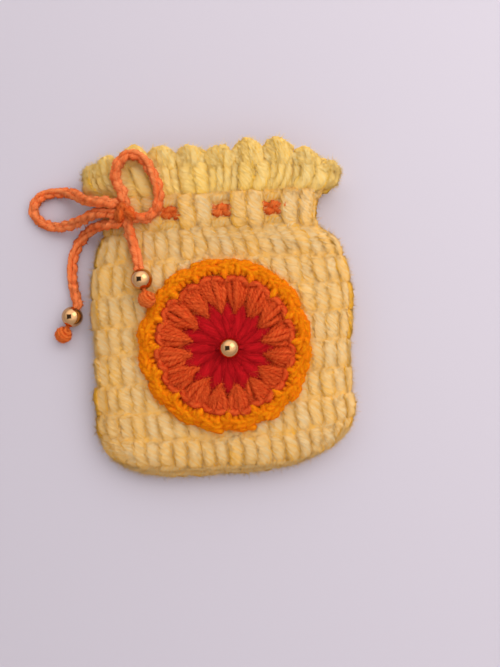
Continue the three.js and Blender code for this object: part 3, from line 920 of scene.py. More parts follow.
@dataclass
class Crochet:
    """Double crochet stitches worked on the bag's form."""

    form: PouchForm
    skein: Skein
    side: Side
    post_thick: float = 1.5
    plunge: float = 0.6
    post_lean: float = -0.18
    cap_up: float = 1.4
    cap_out: float = 1.25
    cap_sunk: float = 0.25
    cap_hook: float = 0.5
    cap_droop: float = 0.035
    cap_tilt: float = 0.03

    def posts(
        self,
        centres: Array,
        pitch: float,
        bottom: float,
        top: Array | float,
        lift: Array | float = 0.0,
        feet: Array | None = None,
    ) -> None:
        """Adds the upright part of stitches.

        Args:
            centres: The share round the bag of each stitch's middle.
            pitch: The share that each stitch takes.
            bottom: The level that the posts start at.
            top: The level that each post ends at.
            lift: How far each post stands out from the others, in mm.
            feet: The share of each post's foot, where it isn't under its top.
        """
        random = self.skein.random
        count = len(centres)
        twist = POST_TWIST[self.side]
        t = np.linspace(0, 1, twist.rings)
        top = np.broadcast_to(top, (count,))[:, None]
        lean = random.normal(self.post_lean, UNEVEN.post_lean, (count, 1))
        sway = random.normal(0.0, UNEVEN.post_sway, (count, 1))
        aside = 0.0 if feet is None else (np.mod(feet - centres + 0.5, 1.0) - 0.5)[:, None]
        share = centres[:, None] + aside * (1 - t)
        share = share + pitch * (lean * (t - 0.5) + sway * np.sin(np.pi * t))
        level = bottom + (top - bottom) * t + random.normal(0.0, UNEVEN.post_level, (count, 1))
        thick = self.post_thick * profile(POST_THICK, t) * random.normal(1.0, UNEVEN.post_thick, (count, 1))
        lift = np.broadcast_to(lift, (count,))[:, None] + random.normal(0.0, UNEVEN.post_lift, (count, 1))
        out = lift - self.post_thick - self.plunge * (1.5 * (1 - t) ** 7 + 0.5 * t**12)
        width = pitch * self.form.distance_round((bottom + float(np.mean(top))) / 2)
        across = width * profile(POST_WIDTH, t) * random.normal(1.0, UNEVEN.post_width, (count, 1))
        path, up = self.form.at(share, level, out)
        # Painted shade at each post's foot and a little at its head, where it dives under other stitches.
        self.skein.strands(path, up, across, thick, twist, 1 - 0.7 * (1 - t) ** 6 - 0.2 * t**12)

    def caps(
        self,
        centres: Array,
        pitch: float,
        level: Array | float,
        lift: Array | float = 0.0,
        span: float = 1.1,
        slope: Array | float = 0.0,
    ) -> None:
        """Adds the top loop of stitches, which lies across the post.

        Args:
            centres: The share round the bag of each stitch's middle.
            pitch: The share that each stitch takes.
            level: The level of each loop's middle.
            lift: How far each loop stands out from the others, in mm.
            span: The loop's length in stitches.
            slope: How far each loop's right end lies above its middle, in rounds.
        """
        random = self.skein.random
        count = len(centres)
        twist = CAP_TWIST[self.side]
        s = np.linspace(-1, 1, twist.rings)
        place = pitch * random.normal(0.0, UNEVEN.cap_place, (count, 1))
        share = centres[:, None] + pitch * span / 2 * s + place
        tilt = np.broadcast_to(slope, (count,))[:, None]
        tilt = tilt + random.normal(self.cap_tilt, UNEVEN.cap_tilt, (count, 1))
        middle = np.broadcast_to(level, (count,))[:, None] + random.normal(0.0, UNEVEN.cap_level, (count, 1))
        levels = middle - self.cap_droop * s**2 + tilt * s
        lift = np.broadcast_to(lift, (count,))[:, None] + random.normal(0.0, UNEVEN.cap_lift, (count, 1))
        out = lift - self.cap_out - self.cap_sunk - self.cap_hook * np.abs(s) ** 4
        ends = np.sqrt(np.clip(1.04 - np.abs(s) ** 6, 0.1, 1))
        path, up = self.form.at(share, levels, out)
        size = random.normal(1.0, UNEVEN.cap_size, (count, 1)) * ends
        # Painted shade at each loop's two ends, where they hook under the posts.
        depth = 1 - 0.5 * np.abs(s) ** 6
        self.skein.strands(path, up, self.cap_up * size, self.cap_out * size, twist, depth)


@dataclass
class Lining:
    """The inner wall behind the stitches: a closed skin of the same yarn, open at the mouth, painted in shade
    where it shows between the stitches and a little shaded inside.
    """

    form: PouchForm
    outer: Profile = (
        (0.25, -1.0), (0.5, -0.55), (7.6, -0.55), (8.0, -1.3), (9.0, -1.3), (9.3, -0.7), (10.0, -1.0),
    )
    inner: float = -3.3
    bottom: float = 0.05
    bottom_out: float = -1.2
    inner_bottom: float = 0.75
    top: float = 10.0
    floor: float = 0.8
    outside_tone_and_shade: tuple[float, float, float, float] = (0.5, 0.5, 0.6, 1.0)
    inside_painted_light: float = 0.9
    levels: int = 34
    columns: int = 160

    def build(self) -> bpy.types.Object:
        """Makes the wall's mesh.

        Returns:
            The lining piece.
        """
        shares = np.arange(self.columns) / self.columns
        outside = np.linspace(self.bottom, self.top, self.levels)
        inside = np.linspace(self.top, self.inner_bottom, self.levels)
        outs = np.concatenate([profile(self.outer, outside), np.full(self.levels, self.inner)])
        outs[0] = self.bottom_out
        rows = np.concatenate([outside, inside])
        points = self.form.at(shares[None], rows[:, None], outs[:, None])[0]
        points[..., 2] = np.maximum(points[..., 2], self.floor)
        grid = np.arange(points.shape[0] * self.columns).reshape(-1, self.columns)
        after = np.roll(grid, -1, axis=1)
        quads = np.stack([grid[:-1], after[:-1], after[1:], grid[1:]], -1).reshape(-1, 4)
        flat = points.reshape(-1, 3)
        middles = np.stack([points[0].mean(0), points[-1].mean(0)])
        first, last = len(flat), len(flat) + 1
        low = np.stack([np.full(self.columns, first), after[0], grid[0]], -1)
        high = np.stack([np.full(self.columns, last), grid[-1], after[-1]], -1)
        flat = np.concatenate([flat, middles])
        # Painted shade: the wall's outside is painted shaded and at half ply level, its inside a little less
        # shaded.
        tone_and_shade = np.ones((len(flat), 4)) * self.outside_tone_and_shade
        tone_and_shade[self.levels * self.columns :, 2] = self.inside_painted_light
        layers = {"yarn": flat * (1.0, 0.2, 0.2), "tone_and_shade": tone_and_shade}
        piece = Piece("pouch_lining", YELLOW, ("pouch_body",))
        return piece.dress(mesh_object(piece.name, flat, quads, np.concatenate([low, high]), layers))


@dataclass
class PouchBody:
    """The bag's eight rounds of double crochet and the chain along its bottom edge."""

    form: PouchForm
    seed: int = 11
    stitches: int = 40
    partings: tuple[float, ...] = (-0.2, 0.8, 1.2, 2.8, -1.6, -0.6, 0.2, 0.8)
    parting_level: float = 0.65
    post_from: float = -0.03
    post_to: float = 0.985
    cap_level: float = 0.955
    first_from: float = 0.16
    corner: float = 43.0
    corner_power: int = 6
    edge_levels: Pair = (0.04, 0.17)
    edge_span: float = 2.1

    def build(self) -> None:
        """Makes the front in two pieces and the back in one."""
        parts = (
            ("pouch_body_front_low", Side.FRONT, range(0, 4)),
            ("pouch_body_front_high", Side.FRONT, range(4, 8)),
            ("pouch_body_back", Side.BACK, range(0, 8)),
        )
        for number, (name, side, rounds) in enumerate(parts):
            skein = Skein(self.seed + number, fuzz=FUZZ[side], soften=SOFTEN)
            for row in rounds:
                self._round(Crochet(self.form, skein, side), row)
            if 0 in rounds:
                self._edge(Crochet(self.form, skein, side, cap_up=1.6, cap_out=1.2))
            skein.piece(Piece(name, YELLOW, ("pouch_body",)))

    def _round(self, crochet: Crochet, row: int) -> None:
        """Adds one round's stitches on one face.

        Args:
            crochet: The stitches' maker.
            row: The round, from 0 at the bottom.
        """
        pitch = 1 / self.stitches
        start = self.form.share_at(self.partings[row], row + self.parting_level)
        centres = start + (np.arange(self.stitches) + 0.5) * pitch
        centres = centres[crochet.side.holds(centres)]
        if row == 0:
            tops = self.form.at(centres, self.post_to)[0][:, 0]
            power = self.corner_power
            xs = tops / (1 + (np.abs(tops) / self.corner) ** power) ** (1 / power)
            feet = np.array([self.form.share_at(x, self.first_from) for x in xs])
            feet = feet if crochet.side is Side.FRONT else 1 - feet
            crochet.posts(centres, pitch, self.first_from, self.post_to, feet=feet)
        else:
            crochet.posts(centres, pitch, row + self.post_from, row + self.post_to)
        crochet.caps(centres, pitch, row + self.cap_level)

    def _edge(self, crochet: Crochet) -> None:
        """Adds the chain's loops along the bottom edge on one face."""
        pitch = 1 / self.stitches
        for number, level in enumerate(self.edge_levels):
            centres = (np.arange(self.stitches) + 0.5 * number) * pitch
            crochet.caps(centres[crochet.side.holds(centres)], pitch, level, span=self.edge_span)


@dataclass
class EyeletBand:
    """The round that the cord goes through: pairs of posts, gaps, and chain over and under each gap."""

    form: PouchForm
    seed: int = 31
    eyelets: int = 9
    first: float = 0.0507
    gap: float = 0.37
    post_levels: Pair = (7.98, 8.96)
    post_lift: float = 0.45
    cap_level: float = 8.9
    cap_lift: float = 0.2
    chain_levels: Pair = (8.82, 8.12)
    chain_span: float = 1.4

    def build(self) -> None:
        """Makes the band on both faces."""
        for number, side in enumerate(Side):
            skein = Skein(self.seed + number, fuzz=FUZZ[side], soften=SOFTEN)
            self._posts(Crochet(self.form, skein, side, post_thick=1.6))
            self._chains(Crochet(self.form, skein, side, cap_up=2.1, cap_out=1.3))
            skein.piece(Piece(f"eyelet_band_{side.name.lower()}", YELLOW, ("eyelet_band",)))

    def _posts(self, crochet: Crochet) -> None:
        """Adds the pairs of posts and the loops on top of them."""
        pitch = (1 - self.gap) / 2 / self.eyelets
        middles = self.first + (np.arange(self.eyelets) + 0.5) / self.eyelets
        centres = np.concatenate([middles - pitch / 2, middles + pitch / 2])
        centres = centres[crochet.side.holds(centres)]
        crochet.posts(centres, pitch, *self.post_levels, self.post_lift)
        crochet.caps(centres, pitch, self.cap_level, self.cap_lift)

    def _chains(self, crochet: Crochet) -> None:
        """Adds the strands over and under each gap."""
        pitch = self.gap / self.eyelets
        centres = self.first + np.arange(self.eyelets) / self.eyelets
        centres = centres[crochet.side.holds(centres)]
        for level in self.chain_levels:
            crochet.caps(centres, pitch, level, span=self.chain_span)


@dataclass
class Frill:
    """The flared edge: a round of posts, then shells that fan out to a scalloped, looped rim."""

    form: PouchForm
    seed: int = 41
    posts: int = 36
    post_levels: Pair = (8.96, 10.08)
    raised: float = 0.3
    fine_lift: float = -0.2
    stitch: float = 0.25
    fan: int = 7
    fan_half: float = 0.43
    fan_foot: float = 9.9
    fan_lift: float = 0.1
    gathered: float = 0.75
    rim: float = 10.66
    rim_sunk: float = 0.02
    notch: float = 0.3
    notch_power: float = 3.2
    rises: tuple[float, ...] = (0.12, -0.08, 0.0, -0.03, -0.03, -0.11, 0.09, 0.13, -0.07, -0.35)
    rise_spread: float = 0.02
    loops: int = 5
    loop_half: float = 0.4
    loop_lift: float = -0.1
    loop_span: float = 1.15
    slope_step: float = 0.1

    def build(self) -> None:
        """Makes the frill on both faces."""
        for number, side in enumerate(Side):
            skein = Skein(self.seed + number, fuzz=FUZZ[side], soften=SOFTEN)
            self._posts(Crochet(self.form, skein, side, post_thick=1.4))
            fine = {"post_thick": 1.35, "plunge": 0.5, "cap_up": 1.2, "cap_out": 1.3}
            self._shells(Crochet(self.form, skein, side, **fine))
            skein.piece(Piece(f"frill_{side.name.lower()}", LIT_FRILL_YELLOW, ("frill",)))

    def _posts(self, crochet: Crochet) -> None:
        """Adds the round of posts: wide and proud over the band's pairs, fine over its gaps."""
        pitch = 1 / self.posts
        number = np.arange(self.posts)
        centres = EyeletBand.first + (number + 0.5) * pitch
        proud = (number % 4 == 1) | (number % 4 == 2)
        fine = np.concatenate([centres[~proud] - pitch / 4, centres[~proud] + pitch / 4])
        for places, width, lift in ((centres[proud], pitch, self.raised), (fine, pitch / 2, self.fine_lift)):
            crochet.posts(places[crochet.side.holds(places)], width, *self.post_levels, lift)

    def _rim_at(self, aside: float) -> float:
        """The level of a shell's rim, for a place from -0.5 to 0.5 across it."""
        return self.rim - self.notch * (abs(aside) / 0.5) ** self.notch_power

    def _shells(self, crochet: Crochet) -> None:
        """Adds the fans of stitches and the loops along their rims."""
        pitch = 1 / self.form.shells
        stitch = self.stitch * pitch
        middles = (np.arange(self.form.shells) + self.form.shell_phase) * pitch
        rise = crochet.skein.random.normal(0.0, self.rise_spread, self.form.shells)
        rise[: len(self.rises)] += self.rises
        kept = crochet.side.holds(middles)
        middles, rise = middles[kept], rise[kept]
        for aside in np.linspace(-self.fan_half, self.fan_half, self.fan):
            feet = middles + self.gathered * aside * pitch
            top = self._rim_at(aside) - self.rim_sunk + rise
            crochet.posts(middles + aside * pitch, stitch, self.fan_foot, top, self.fan_lift, feet)
        span = self.loop_span
        for aside in np.linspace(-self.loop_half, self.loop_half, self.loops):
            slope = (self._rim_at(aside + self.slope_step) - self._rim_at(aside - self.slope_step)) / 2
            level = self._rim_at(aside) - self.rim_sunk + rise
            crochet.caps(middles + aside * pitch, stitch, level, self.loop_lift, span, span * slope)


# Profiles of the rosette's strands from their inner to their outer ends, in mm
STAR_HEIGHT = ((0, 0.9), (0.15, 1.3), (0.6, 1.5), (0.85, 1.35), (1, 1.1))
STAR_WIDTH = ((0, 0.6), (0.15, 1.8), (0.5, 3.4), (0.72, 4.0), (0.86, 2.4), (1, 0.3))
STAR_THICK = ((0, 0.7), (0.15, 1.2), (0.6, 1.5), (0.86, 1.3), (1, 0.4))
PETAL_ASIDE = ((0, 0.3), (0.2, 1.2), (0.45, 2.8), (0.75, 4.0), (1, 4.4))
PETAL_HEIGHT = ((0, 1.5), (0.12, 2.6), (0.4, 3.4), (0.75, 3.0), (1, 1.6))
PETAL_SIZE = ((0, 0.5), (0.12, 0.85), (0.45, 1.12), (0.9, 1.12), (1, 0.7))
BORDER_HEIGHT = ((0, 1.6), (0.2, 2.2), (0.6, 1.9), (1, 1.0))
BORDER_SIZE = ((0, 0.8), (0.2, 1.15), (0.8, 1.2), (1, 0.8))
NUB_HEIGHT = ((0, 2.4), (0.25, 3.1), (0.6, 2.9), (1, 2.0))
NUB_SIZE = ((0, 0.6), (0.2, 1.2), (0.7, 1.45), (1, 1.0))


@dataclass
class Rosette:
    """The flower on the front: a red star, a ring of puffed petals and an amber border.

    The radii are measured from the flower's middle, which drifts from the heart to the centre over the radii
    of drift, and reaches are the radii of a strand's two ends.
    """

    form: PouchForm
    seed: int = 51
    heart: Pair = (3.0, -18.9)
    centre: Pair = (1.4, -17.3)
    drift: Pair = (12.0, 29.0)
    petals: int = 16
    turned: float = -0.004
    star_reach: Pair = (0.8, 19.6)
    under_radii: tuple[float, ...] = (17.6, 20.6, 23.6, 26.6)
    strands: int = 7
    petal_reach: Pair = (14.4, 28.4)
    loop_radius: float = 27.0
    loop_half: float = 2.6
    stitches: int = 5
    border_ring: float = 30.4
    border_foot: float = 28.2
    border_rim: float = 32.3
    scallop: float = 1.7
    nub_reach: Pair = (26.4, 31.0)
    under_twist: Twist = Twist(73, 4, 2, 9.0)
    star_twist: Twist = Twist(14, 6, 3, 60.0, 0.025)
    petal_twist: Twist = Twist(14, 3, 3, 6.0, 0.2, 1.0, 0.1)
    loop_twist: Twist = Twist(10, 3, 4, 7.0, 0.16)
    border_twist: Twist = Twist(9, 2, 4, 7.0, 0.14)
    rim_twist: Twist = Twist(9, 2, 4, 6.0, 0.09)
    nub_twist: Twist = Twist(7, 3, 3, 7.0)

    def build(self) -> None:
        """Makes the three rounds."""
        self._star()
        self._petals()
        self._border()

    def _at(self, angle: Array, radius: Array | float, height: Array | float) -> tuple[Array, Array]:
        """Points over the front, and the way up there.

        Args:
            angle: The angle round the rosette, in turns.
            radius: The distance from its middle, in mm.
            height: The height over the front, in mm.

        Returns:
            The points and the upward direction at each.
        """
        angle, radius, height = np.broadcast_arrays(angle + self.turned, radius, height)
        start, end = self.drift
        drift = np.clip((radius - start) / (end - start), 0, 1)
        x = self.heart[0] + (self.centre[0] - self.heart[0]) * drift + radius * np.cos(2 * np.pi * angle)
        y = self.heart[1] + (self.centre[1] - self.heart[1]) * drift + radius * np.sin(2 * np.pi * angle)
        z = self.form.front_height(x.ravel(), y.ravel()).reshape(x.shape) + height
        return np.stack([x, y, z], -1), np.broadcast_to(UP, x.shape + (3,))

    def _ring(self, skein: Skein, radius: float, height: float, across: float, thick: float) -> None:
        """Adds one strand right round the rosette, under its stitches.

        Args:
            skein: The skein to add to.
            radius: The strand's distance from the middle, in mm.
            height: Its height over the front, in mm.
            across: Half its width, in mm.
            thick: Half its thickness, in mm.
        """
        path, up = self._at(np.linspace(0, 1.01, self.under_twist.rings)[None], radius, height)
        # The ring is painted in shade, as it lies under the stitches.
        skein.strands(path, up, across, thick, self.under_twist, 0.45)

    def _star(self) -> None:
        """Makes the red round: a bundle of yarn out to each point of the star."""
        skein = Skein(self.seed)
        t = np.linspace(0, 1, self.star_twist.rings)
        angles = (np.arange(self.petals) / self.petals)[:, None]
        swirl = skein.random.normal(0.0, 0.004, (self.petals, 1))
        start, end = self.star_reach
        radius = start + (end - start) * t + skein.random.normal(0, 0.5, (self.petals, 1)) * t
        path, up = self._at(angles + swirl * t, radius, profile(STAR_HEIGHT, t))
        skein.strands(path, up, profile(STAR_WIDTH, t), profile(STAR_THICK, t), self.star_twist)
        skein.piece(Piece("rosette_centre_yarn", RED, ("rosette_centre",)))

    def _petals(self) -> None:
        """Makes the petals: a fan of strands from one foot, with two loops over its end."""
        skein = Skein(self.seed + 1)
        for radius in self.under_radii:
            self._ring(skein, radius, 1.1, 2.0, 1.0)
        t = np.linspace(0, 1, self.petal_twist.rings)
        angles = ((np.arange(self.petals) + 0.5) / self.petals)[:, None]
        start, end = self.petal_reach
        for hand in np.linspace(-1, 1, self.strands):
            sway = skein.random.normal(0, 0.45, (self.petals, 1)) * np.sin(np.pi * t)
            inner = start + 0.8 * hand + skein.random.normal(0, 0.5, (self.petals, 1))
            outer = end - 1.2 * hand**2 + skein.random.normal(0, 0.3, (self.petals, 1))
            radius = inner + (outer - inner) * t
            aside = hand * profile(PETAL_ASIDE, t) + sway
            height = profile(PETAL_HEIGHT, t) - 0.9 * hand**2
            height = height + skein.random.normal(0, 0.2, (self.petals, 1))
            path, up = self._at(angles + aside / (2 * np.pi * radius), radius, height)
            size = profile(PETAL_SIZE, t) * skein.random.normal(1, 0.08, (self.petals, 1))
            # Painted shade at each strand's inner end.
            skein.strands(path, up, size, 1.05 * size, self.petal_twist, 1 - 0.3 * (1 - t) ** 6)
        for hand in (-1, 1):
            self._petal_loops(skein, angles, hand)
        skein.piece(Piece("rosette_petals_yarn", PETAL, ("rosette_petals",)))

    def _petal_loops(self, skein: Skein, angles: Array, hand: int) -> None:
        """Adds the loop across the outer end of each half petal.

        Args:
            skein: The skein to add to.
            angles: The angle of each petal's middle, in turns.
            hand: Which half of the petal, -1 or 1.
        """
        s = np.linspace(-1, 1, self.loop_twist.rings)
        radius = self.loop_radius - 1.2 * s**2 - 0.7 * hand * s
        radius = radius + skein.random.normal(0, 0.35, (self.petals, 1))
        aside = hand * self.loop_half + self.loop_half * s
        height = 2.9 - 0.9 * np.abs(s) ** 3
        path, up = self._at(angles + aside / (2 * np.pi * radius), radius, height)
        size = np.sqrt(np.clip(1.05 - np.abs(s) ** 6, 0.1, 1))
        # Painted shade at each loop's two ends.
        skein.strands(path, up, 1.35 * size, 1.15 * size, self.loop_twist, 1 - 0.4 * np.abs(s) ** 5)

    def _border(self) -> None:
        """Makes the amber round: short stitches, loops along its scalloped rim, and nubs between petals."""
        skein = Skein(self.seed + 2)
        self._ring(skein, self.border_ring, 1.0, 2.4, 0.9)
        count = self.petals * self.stitches
        middles = ((np.arange(count) + 0.5) / count)[:, None]
        rim = self.border_rim + self.scallop * np.abs(np.sin(np.pi * self.petals * middles)) ** 0.8
        t = np.linspace(0, 1, self.border_twist.rings)
        lean = skein.random.normal(0.5, 0.5, (count, 1))
        radius = self.border_foot + (rim - self.border_foot) * t
        height = profile(BORDER_HEIGHT, t) + skein.random.normal(0, 0.2, (count, 1))
        path, up = self._at(middles + lean * (t - 0.5) / (2 * np.pi * radius), radius, height)
        size = profile(BORDER_SIZE, t) * skein.random.normal(1, 0.08, (count, 1))
        # Painted shade at each stitch's foot.
        skein.strands(path, up, size, size, self.border_twist, 1 - 0.3 * (1 - t) ** 4)
        self._rim_loops(skein, middles, rim)
        self._nubs(skein)
        skein.piece(Piece("rosette_border_yarn", AMBER, ("rosette_border",)))

    def _rim_loops(self, skein: Skein, middles: Array, rim: Array) -> None:
        """Adds the three strands of loop over the end of each stitch of the border.

        Args:
            skein: The skein to add to.
            middles: The angle of each stitch, in turns.
            rim: The distance of each stitch's end from the middle, in mm.
        """
        count = len(middles)
        s = np.linspace(-1, 1, self.rim_twist.rings)
        ends = np.sqrt(np.clip(1.05 - np.abs(s) ** 5, 0.15, 1))
        # Painted shade at each loop's two ends.
        depth = 1 - 0.3 * np.abs(s) ** 5
        for inward, proud, slant in ((2.5, 2.6, 0.9), (1.0, 2.3, -0.8), (-0.1, 1.3, 0.5)):
            radius = rim - inward + slant * s + skein.random.normal(0, 0.3, (count, 1))
            angle = middles + 0.9 * s / count + skein.random.normal(0, 0.2, (count, 1)) / count
            path, up = self._at(angle, radius, proud - 0.6 * s**2)
            size = ends * skein.random.normal(1, 0.08, (count, 1))
            skein.strands(path, up, 1.25 * size, 1.05 * size, self.rim_twist, depth)

    def _nubs(self, skein: Skein) -> None:
        """Adds the amber nubs that reach in between the petals."""
        angles = (np.arange(self.petals) / self.petals)[:, None]
        t = np.linspace(0, 1, self.nub_twist.rings)
        start, end = self.nub_reach
        lean = skein.random.normal(0.0, 0.5, (self.petals, 1))
        radius = start + (end - start) * t + skein.random.normal(0, 0.4, (self.petals, 1))
        path, up = self._at(angles + lean * (1 - t) / (2 * np.pi * radius), radius, profile(NUB_HEIGHT, t))
        size = profile(NUB_SIZE, t)
        skein.strands(path, up, 1.15 * size, size, self.nub_twist)


@dataclass
class BeadThread:
    """The red thread that runs through the rosette's bead and down into the star on both sides."""

    bead: Point
    seed: int = 54
    foot: float = 17.0
    half: float = 0.5
    spacing: float = 0.6

    def build(self) -> bpy.types.Object:
        """Makes the thread.

        Returns:
            The thread's piece.
        """
        x, y, z = self.bead
        ends = ((5.4, self.foot), (4.9, self.foot + 1.6), (4.2, z - 0.8), (3.2, z), (1.2, z))
        half = [(x - out, y, up) for out, up in ends]
        route = smooth_route(half + [(2 * x - a, b, c) for a, b, c in reversed(half)], self.spacing)[None]
        up = np.broadcast_to((0.0, 1.0, 0.0), route.shape)
        skein = Skein(self.seed, fuzz=0.0)
        skein.strands(route, up, self.half, self.half, Twist(route.shape[1], 2, 4, 2.4))
        return skein.piece(Piece("rosette_bead_thread_yarn", RED, ("rosette_bead_thread",)))


# The cord, its beads and its yarn balls


@dataclass
class ChainCord:
    """A cord of chain stitches: legs that cross from side to side by turns, and the bumps along its back."""

    link: float = 4.4
    leg: float = 1.32
    leg_links: float = 1.75
    shortest: float = 0.8
    spread: float = 1.14
    rise: float = 0.7
    back: float = -0.95
    turn: float = 0.014
    twist: Twist = Twist(12, 5, 2, 6.0, 0.2, 1.0, 0.09)
    leg_width: Profile = ((0, 0.5), (0.2, 0.85), (0.5, 1.1), (0.8, 0.85), (1, 0.5))
    leg_spread: Profile = ((0, -0.55), (0.2, 0.1), (0.5, 1.0), (0.75, 0.75), (1, -0.1))
    leg_rise: Profile = ((0, -0.6), (0.25, 0.6), (0.5, 1.0), (0.75, 0.5), (1, -0.7))

    def lay(self, skein: Skein, route: Array, up: Array, size: Array | float = 1.0) -> None:
        """Adds a length of cord along a route.

        Args:
            skein: The skein to add to.
            route: The cord's middle line, in mm.
            up: The direction that the chain's face points along it.
            size: The cord's share of its full size at each point of the route.
        """
        travel = travelled(route)
        ahead = unit(np.gradient(route, axis=0))
        swing = 2 * np.pi * self.turn * travel[:, None]
        side = unit(np.cross(ahead, up))
        face = np.cross(side, ahead) * np.cos(swing) + side * np.sin(swing)
        side = np.cross(ahead, face)
        size = np.broadcast_to(size, travel.shape)
        links = max(2, round(travel[-1] / self.link))
        step = travel[-1] / links
        q = np.linspace(0, 1, self.twist.rings)
        for hand, shift in ((-1, 0.0), (1, 0.5), (0, 0.25)):
            starts = (np.arange(-1, links + 1) + shift)[:, None] * step
            along = np.clip(starts + step * self.leg_links * q, 0, travel[-1])
            along = along[np.ptp(along, axis=1) > self.shortest * step]
            middle, across, proud = (self._carried(v, along, travel) for v in (route, side, face))
            scale = np.interp(along, travel, size)
            radius = self.leg * scale * profile(self.leg_width, q)
            aside = hand * self.spread * scale * profile(self.leg_spread, q)
            rise = scale * (self.rise * profile(self.leg_rise, q) if hand else self.back)
            path = middle + across * aside[..., None] + proud * rise[..., None]
            # Painted shade at both ends of each leg, where it tucks under the next.
            skein.strands(path, proud, radius, radius, self.twist, 1 - 0.6 * q**6 - 0.4 * (1 - q) ** 6)

    @staticmethod
    def _carried(values: Array, along: Array, travel: Array) -> Array:
        """Values of the route at the strands' own places."""
        return np.stack([np.interp(along, travel, values[:, axis]) for axis in range(3)], -1)


@dataclass
class CordPiece:
    """One free length of the bow's cord."""

    node: str
    points: tuple[Point, ...]
    far_end: str
    seed: int
    first_up: Point = UP
    slim_end: float = 1.0
    taper: float = 5.0
    diameter: float = 4.2
    spacing: float = 0.9

    def build(self, carried: Sequence[bpy.types.Object] = ()) -> bpy.types.Object:
        """Makes the cord.

        Args:
            carried: The pieces on the cord's end; not used.

        Returns:
            The cord's piece.
        """
        route = smooth_route(self.points, self.spacing)
        travel = travelled(route)
        size = profile(((0.0, self.slim_end), (self.taper, 1.0)), travel[-1] - travel)
        skein = Skein(self.seed, hair=0.95, fibre=0.1)
        ChainCord().lay(skein, route, carried_up(route, self.first_up), size)
        cord = skein.piece(Piece(self.node + "_chain", ORANGE, (self.node,)))
        return cord


@dataclass
class Bead:
    """A polished round bead with a bore."""

    name: str
    stands_for: str
    place: Point
    axis: Point
    radius: float = 4.0
    bore: float = 1.35
    segments: int = 40
    rings: int = 28
    bevel: float = 0.3
    bevel_steps: int = 3
    sharp: float = 40.0
    smooth: float = 50.0

    def build(self) -> bpy.types.Object:
        """Models the bead round its bore and puts it in its place.

        Returns:
            The bead's piece.
        """
        bpy.ops.object.select_all(action="DESELECT")
        radius = self.radius * MM
        bpy.ops.mesh.primitive_uv_sphere_add(segments=self.segments, ring_count=self.rings, radius=radius)
        bead = bpy.context.object
        bpy.ops.object.mode_set(mode="EDIT")
        bpy.ops.mesh.select_mode(type="FACE")
        bpy.ops.mesh.select_all(action="DESELECT")
        bpy.ops.object.mode_set(mode="OBJECT")
        for face in bead.data.polygons:
            face.select = face.center.xy.length < self.bore * MM
        bpy.ops.object.mode_set(mode="EDIT")
        bpy.ops.mesh.delete(type="FACE")
        bpy.ops.mesh.select_mode(type="EDGE")
        bpy.ops.mesh.select_non_manifold()
        bpy.ops.mesh.bridge_edge_loops()
        bpy.ops.mesh.select_all(action="SELECT")
        bpy.ops.mesh.normals_make_consistent(inside=False)
        bpy.ops.object.mode_set(mode="OBJECT")
        edge = bead.modifiers.new("rounded_bore", "BEVEL")
        edge.width = self.bevel * MM
        edge.segments = self.bevel_steps
        edge.limit_method = "ANGLE"
        edge.angle_limit = math.radians(self.sharp)
        bpy.ops.object.modifier_apply(modifier=edge.name)
        bpy.ops.object.shade_smooth_by_angle(angle=math.radians(self.smooth))
        turn = Vector(self.axis).to_track_quat("Z", "Y").to_matrix().to_4x4()
        bead.data.transform(Matrix.Translation(Vector(self.place) * MM) @ turn)
        return Piece(self.name, GOLD, (self.stands_for,)).dress(bead)


@dataclass
class YarnBall:
    """A small ball wound from the cord's own yarn."""

    node: str
    place: Point
    stem_from: Point
    seed: int
    radius: float = 3.6
    strand: float = 0.85
    stem: float = 0.95
    winds: int = 6
    wind_half: float = 0.92
    wind_turns: float = 1.05
    depths: Pair = (0.94, 1.0)
    axis: Point = (0.75, 0.5, 0.43)
    wind_twist: Twist = Twist(26, 3, 3, 5.0, 0.2)
    stem_twist: Twist = Twist(8, 3, 3, 6.0)

    def build(self) -> bpy.types.Object:
        """Winds the ball and its stem.

        Returns:
            The ball's piece.
        """
        skein = Skein(self.seed, hair=0.9)
        axis = unit(np.array(self.axis))
        first = unit(np.cross(axis, skein.random.normal(0, 1, 3)))
        second = np.cross(axis, first)
        angle = np.linspace(0, 2 * np.pi * self.wind_turns, self.wind_twist.rings)[None, :, None]
        aside = np.linspace(-self.wind_half, self.wind_half, self.winds)[:, None, None]
        out = axis * aside + np.sqrt(1 - aside**2) * (first * np.cos(angle) + second * np.sin(angle))
        reach = (self.radius - self.strand) * skein.random.uniform(*self.depths, (self.winds, 1, 1))
        skein.strands(np.array(self.place) + out * reach, out, self.strand, self.strand, self.wind_twist)
        stem = np.linspace(self.stem_from, self.place, self.stem_twist.rings)[None]
        up = np.broadcast_to(UP, stem.shape)
        skein.strands(stem, up, self.stem, self.stem, self.stem_twist)
        return skein.piece(Piece(self.node + "_yarn", DEEP_AND_SHADED_ORANGE, (self.node,)))


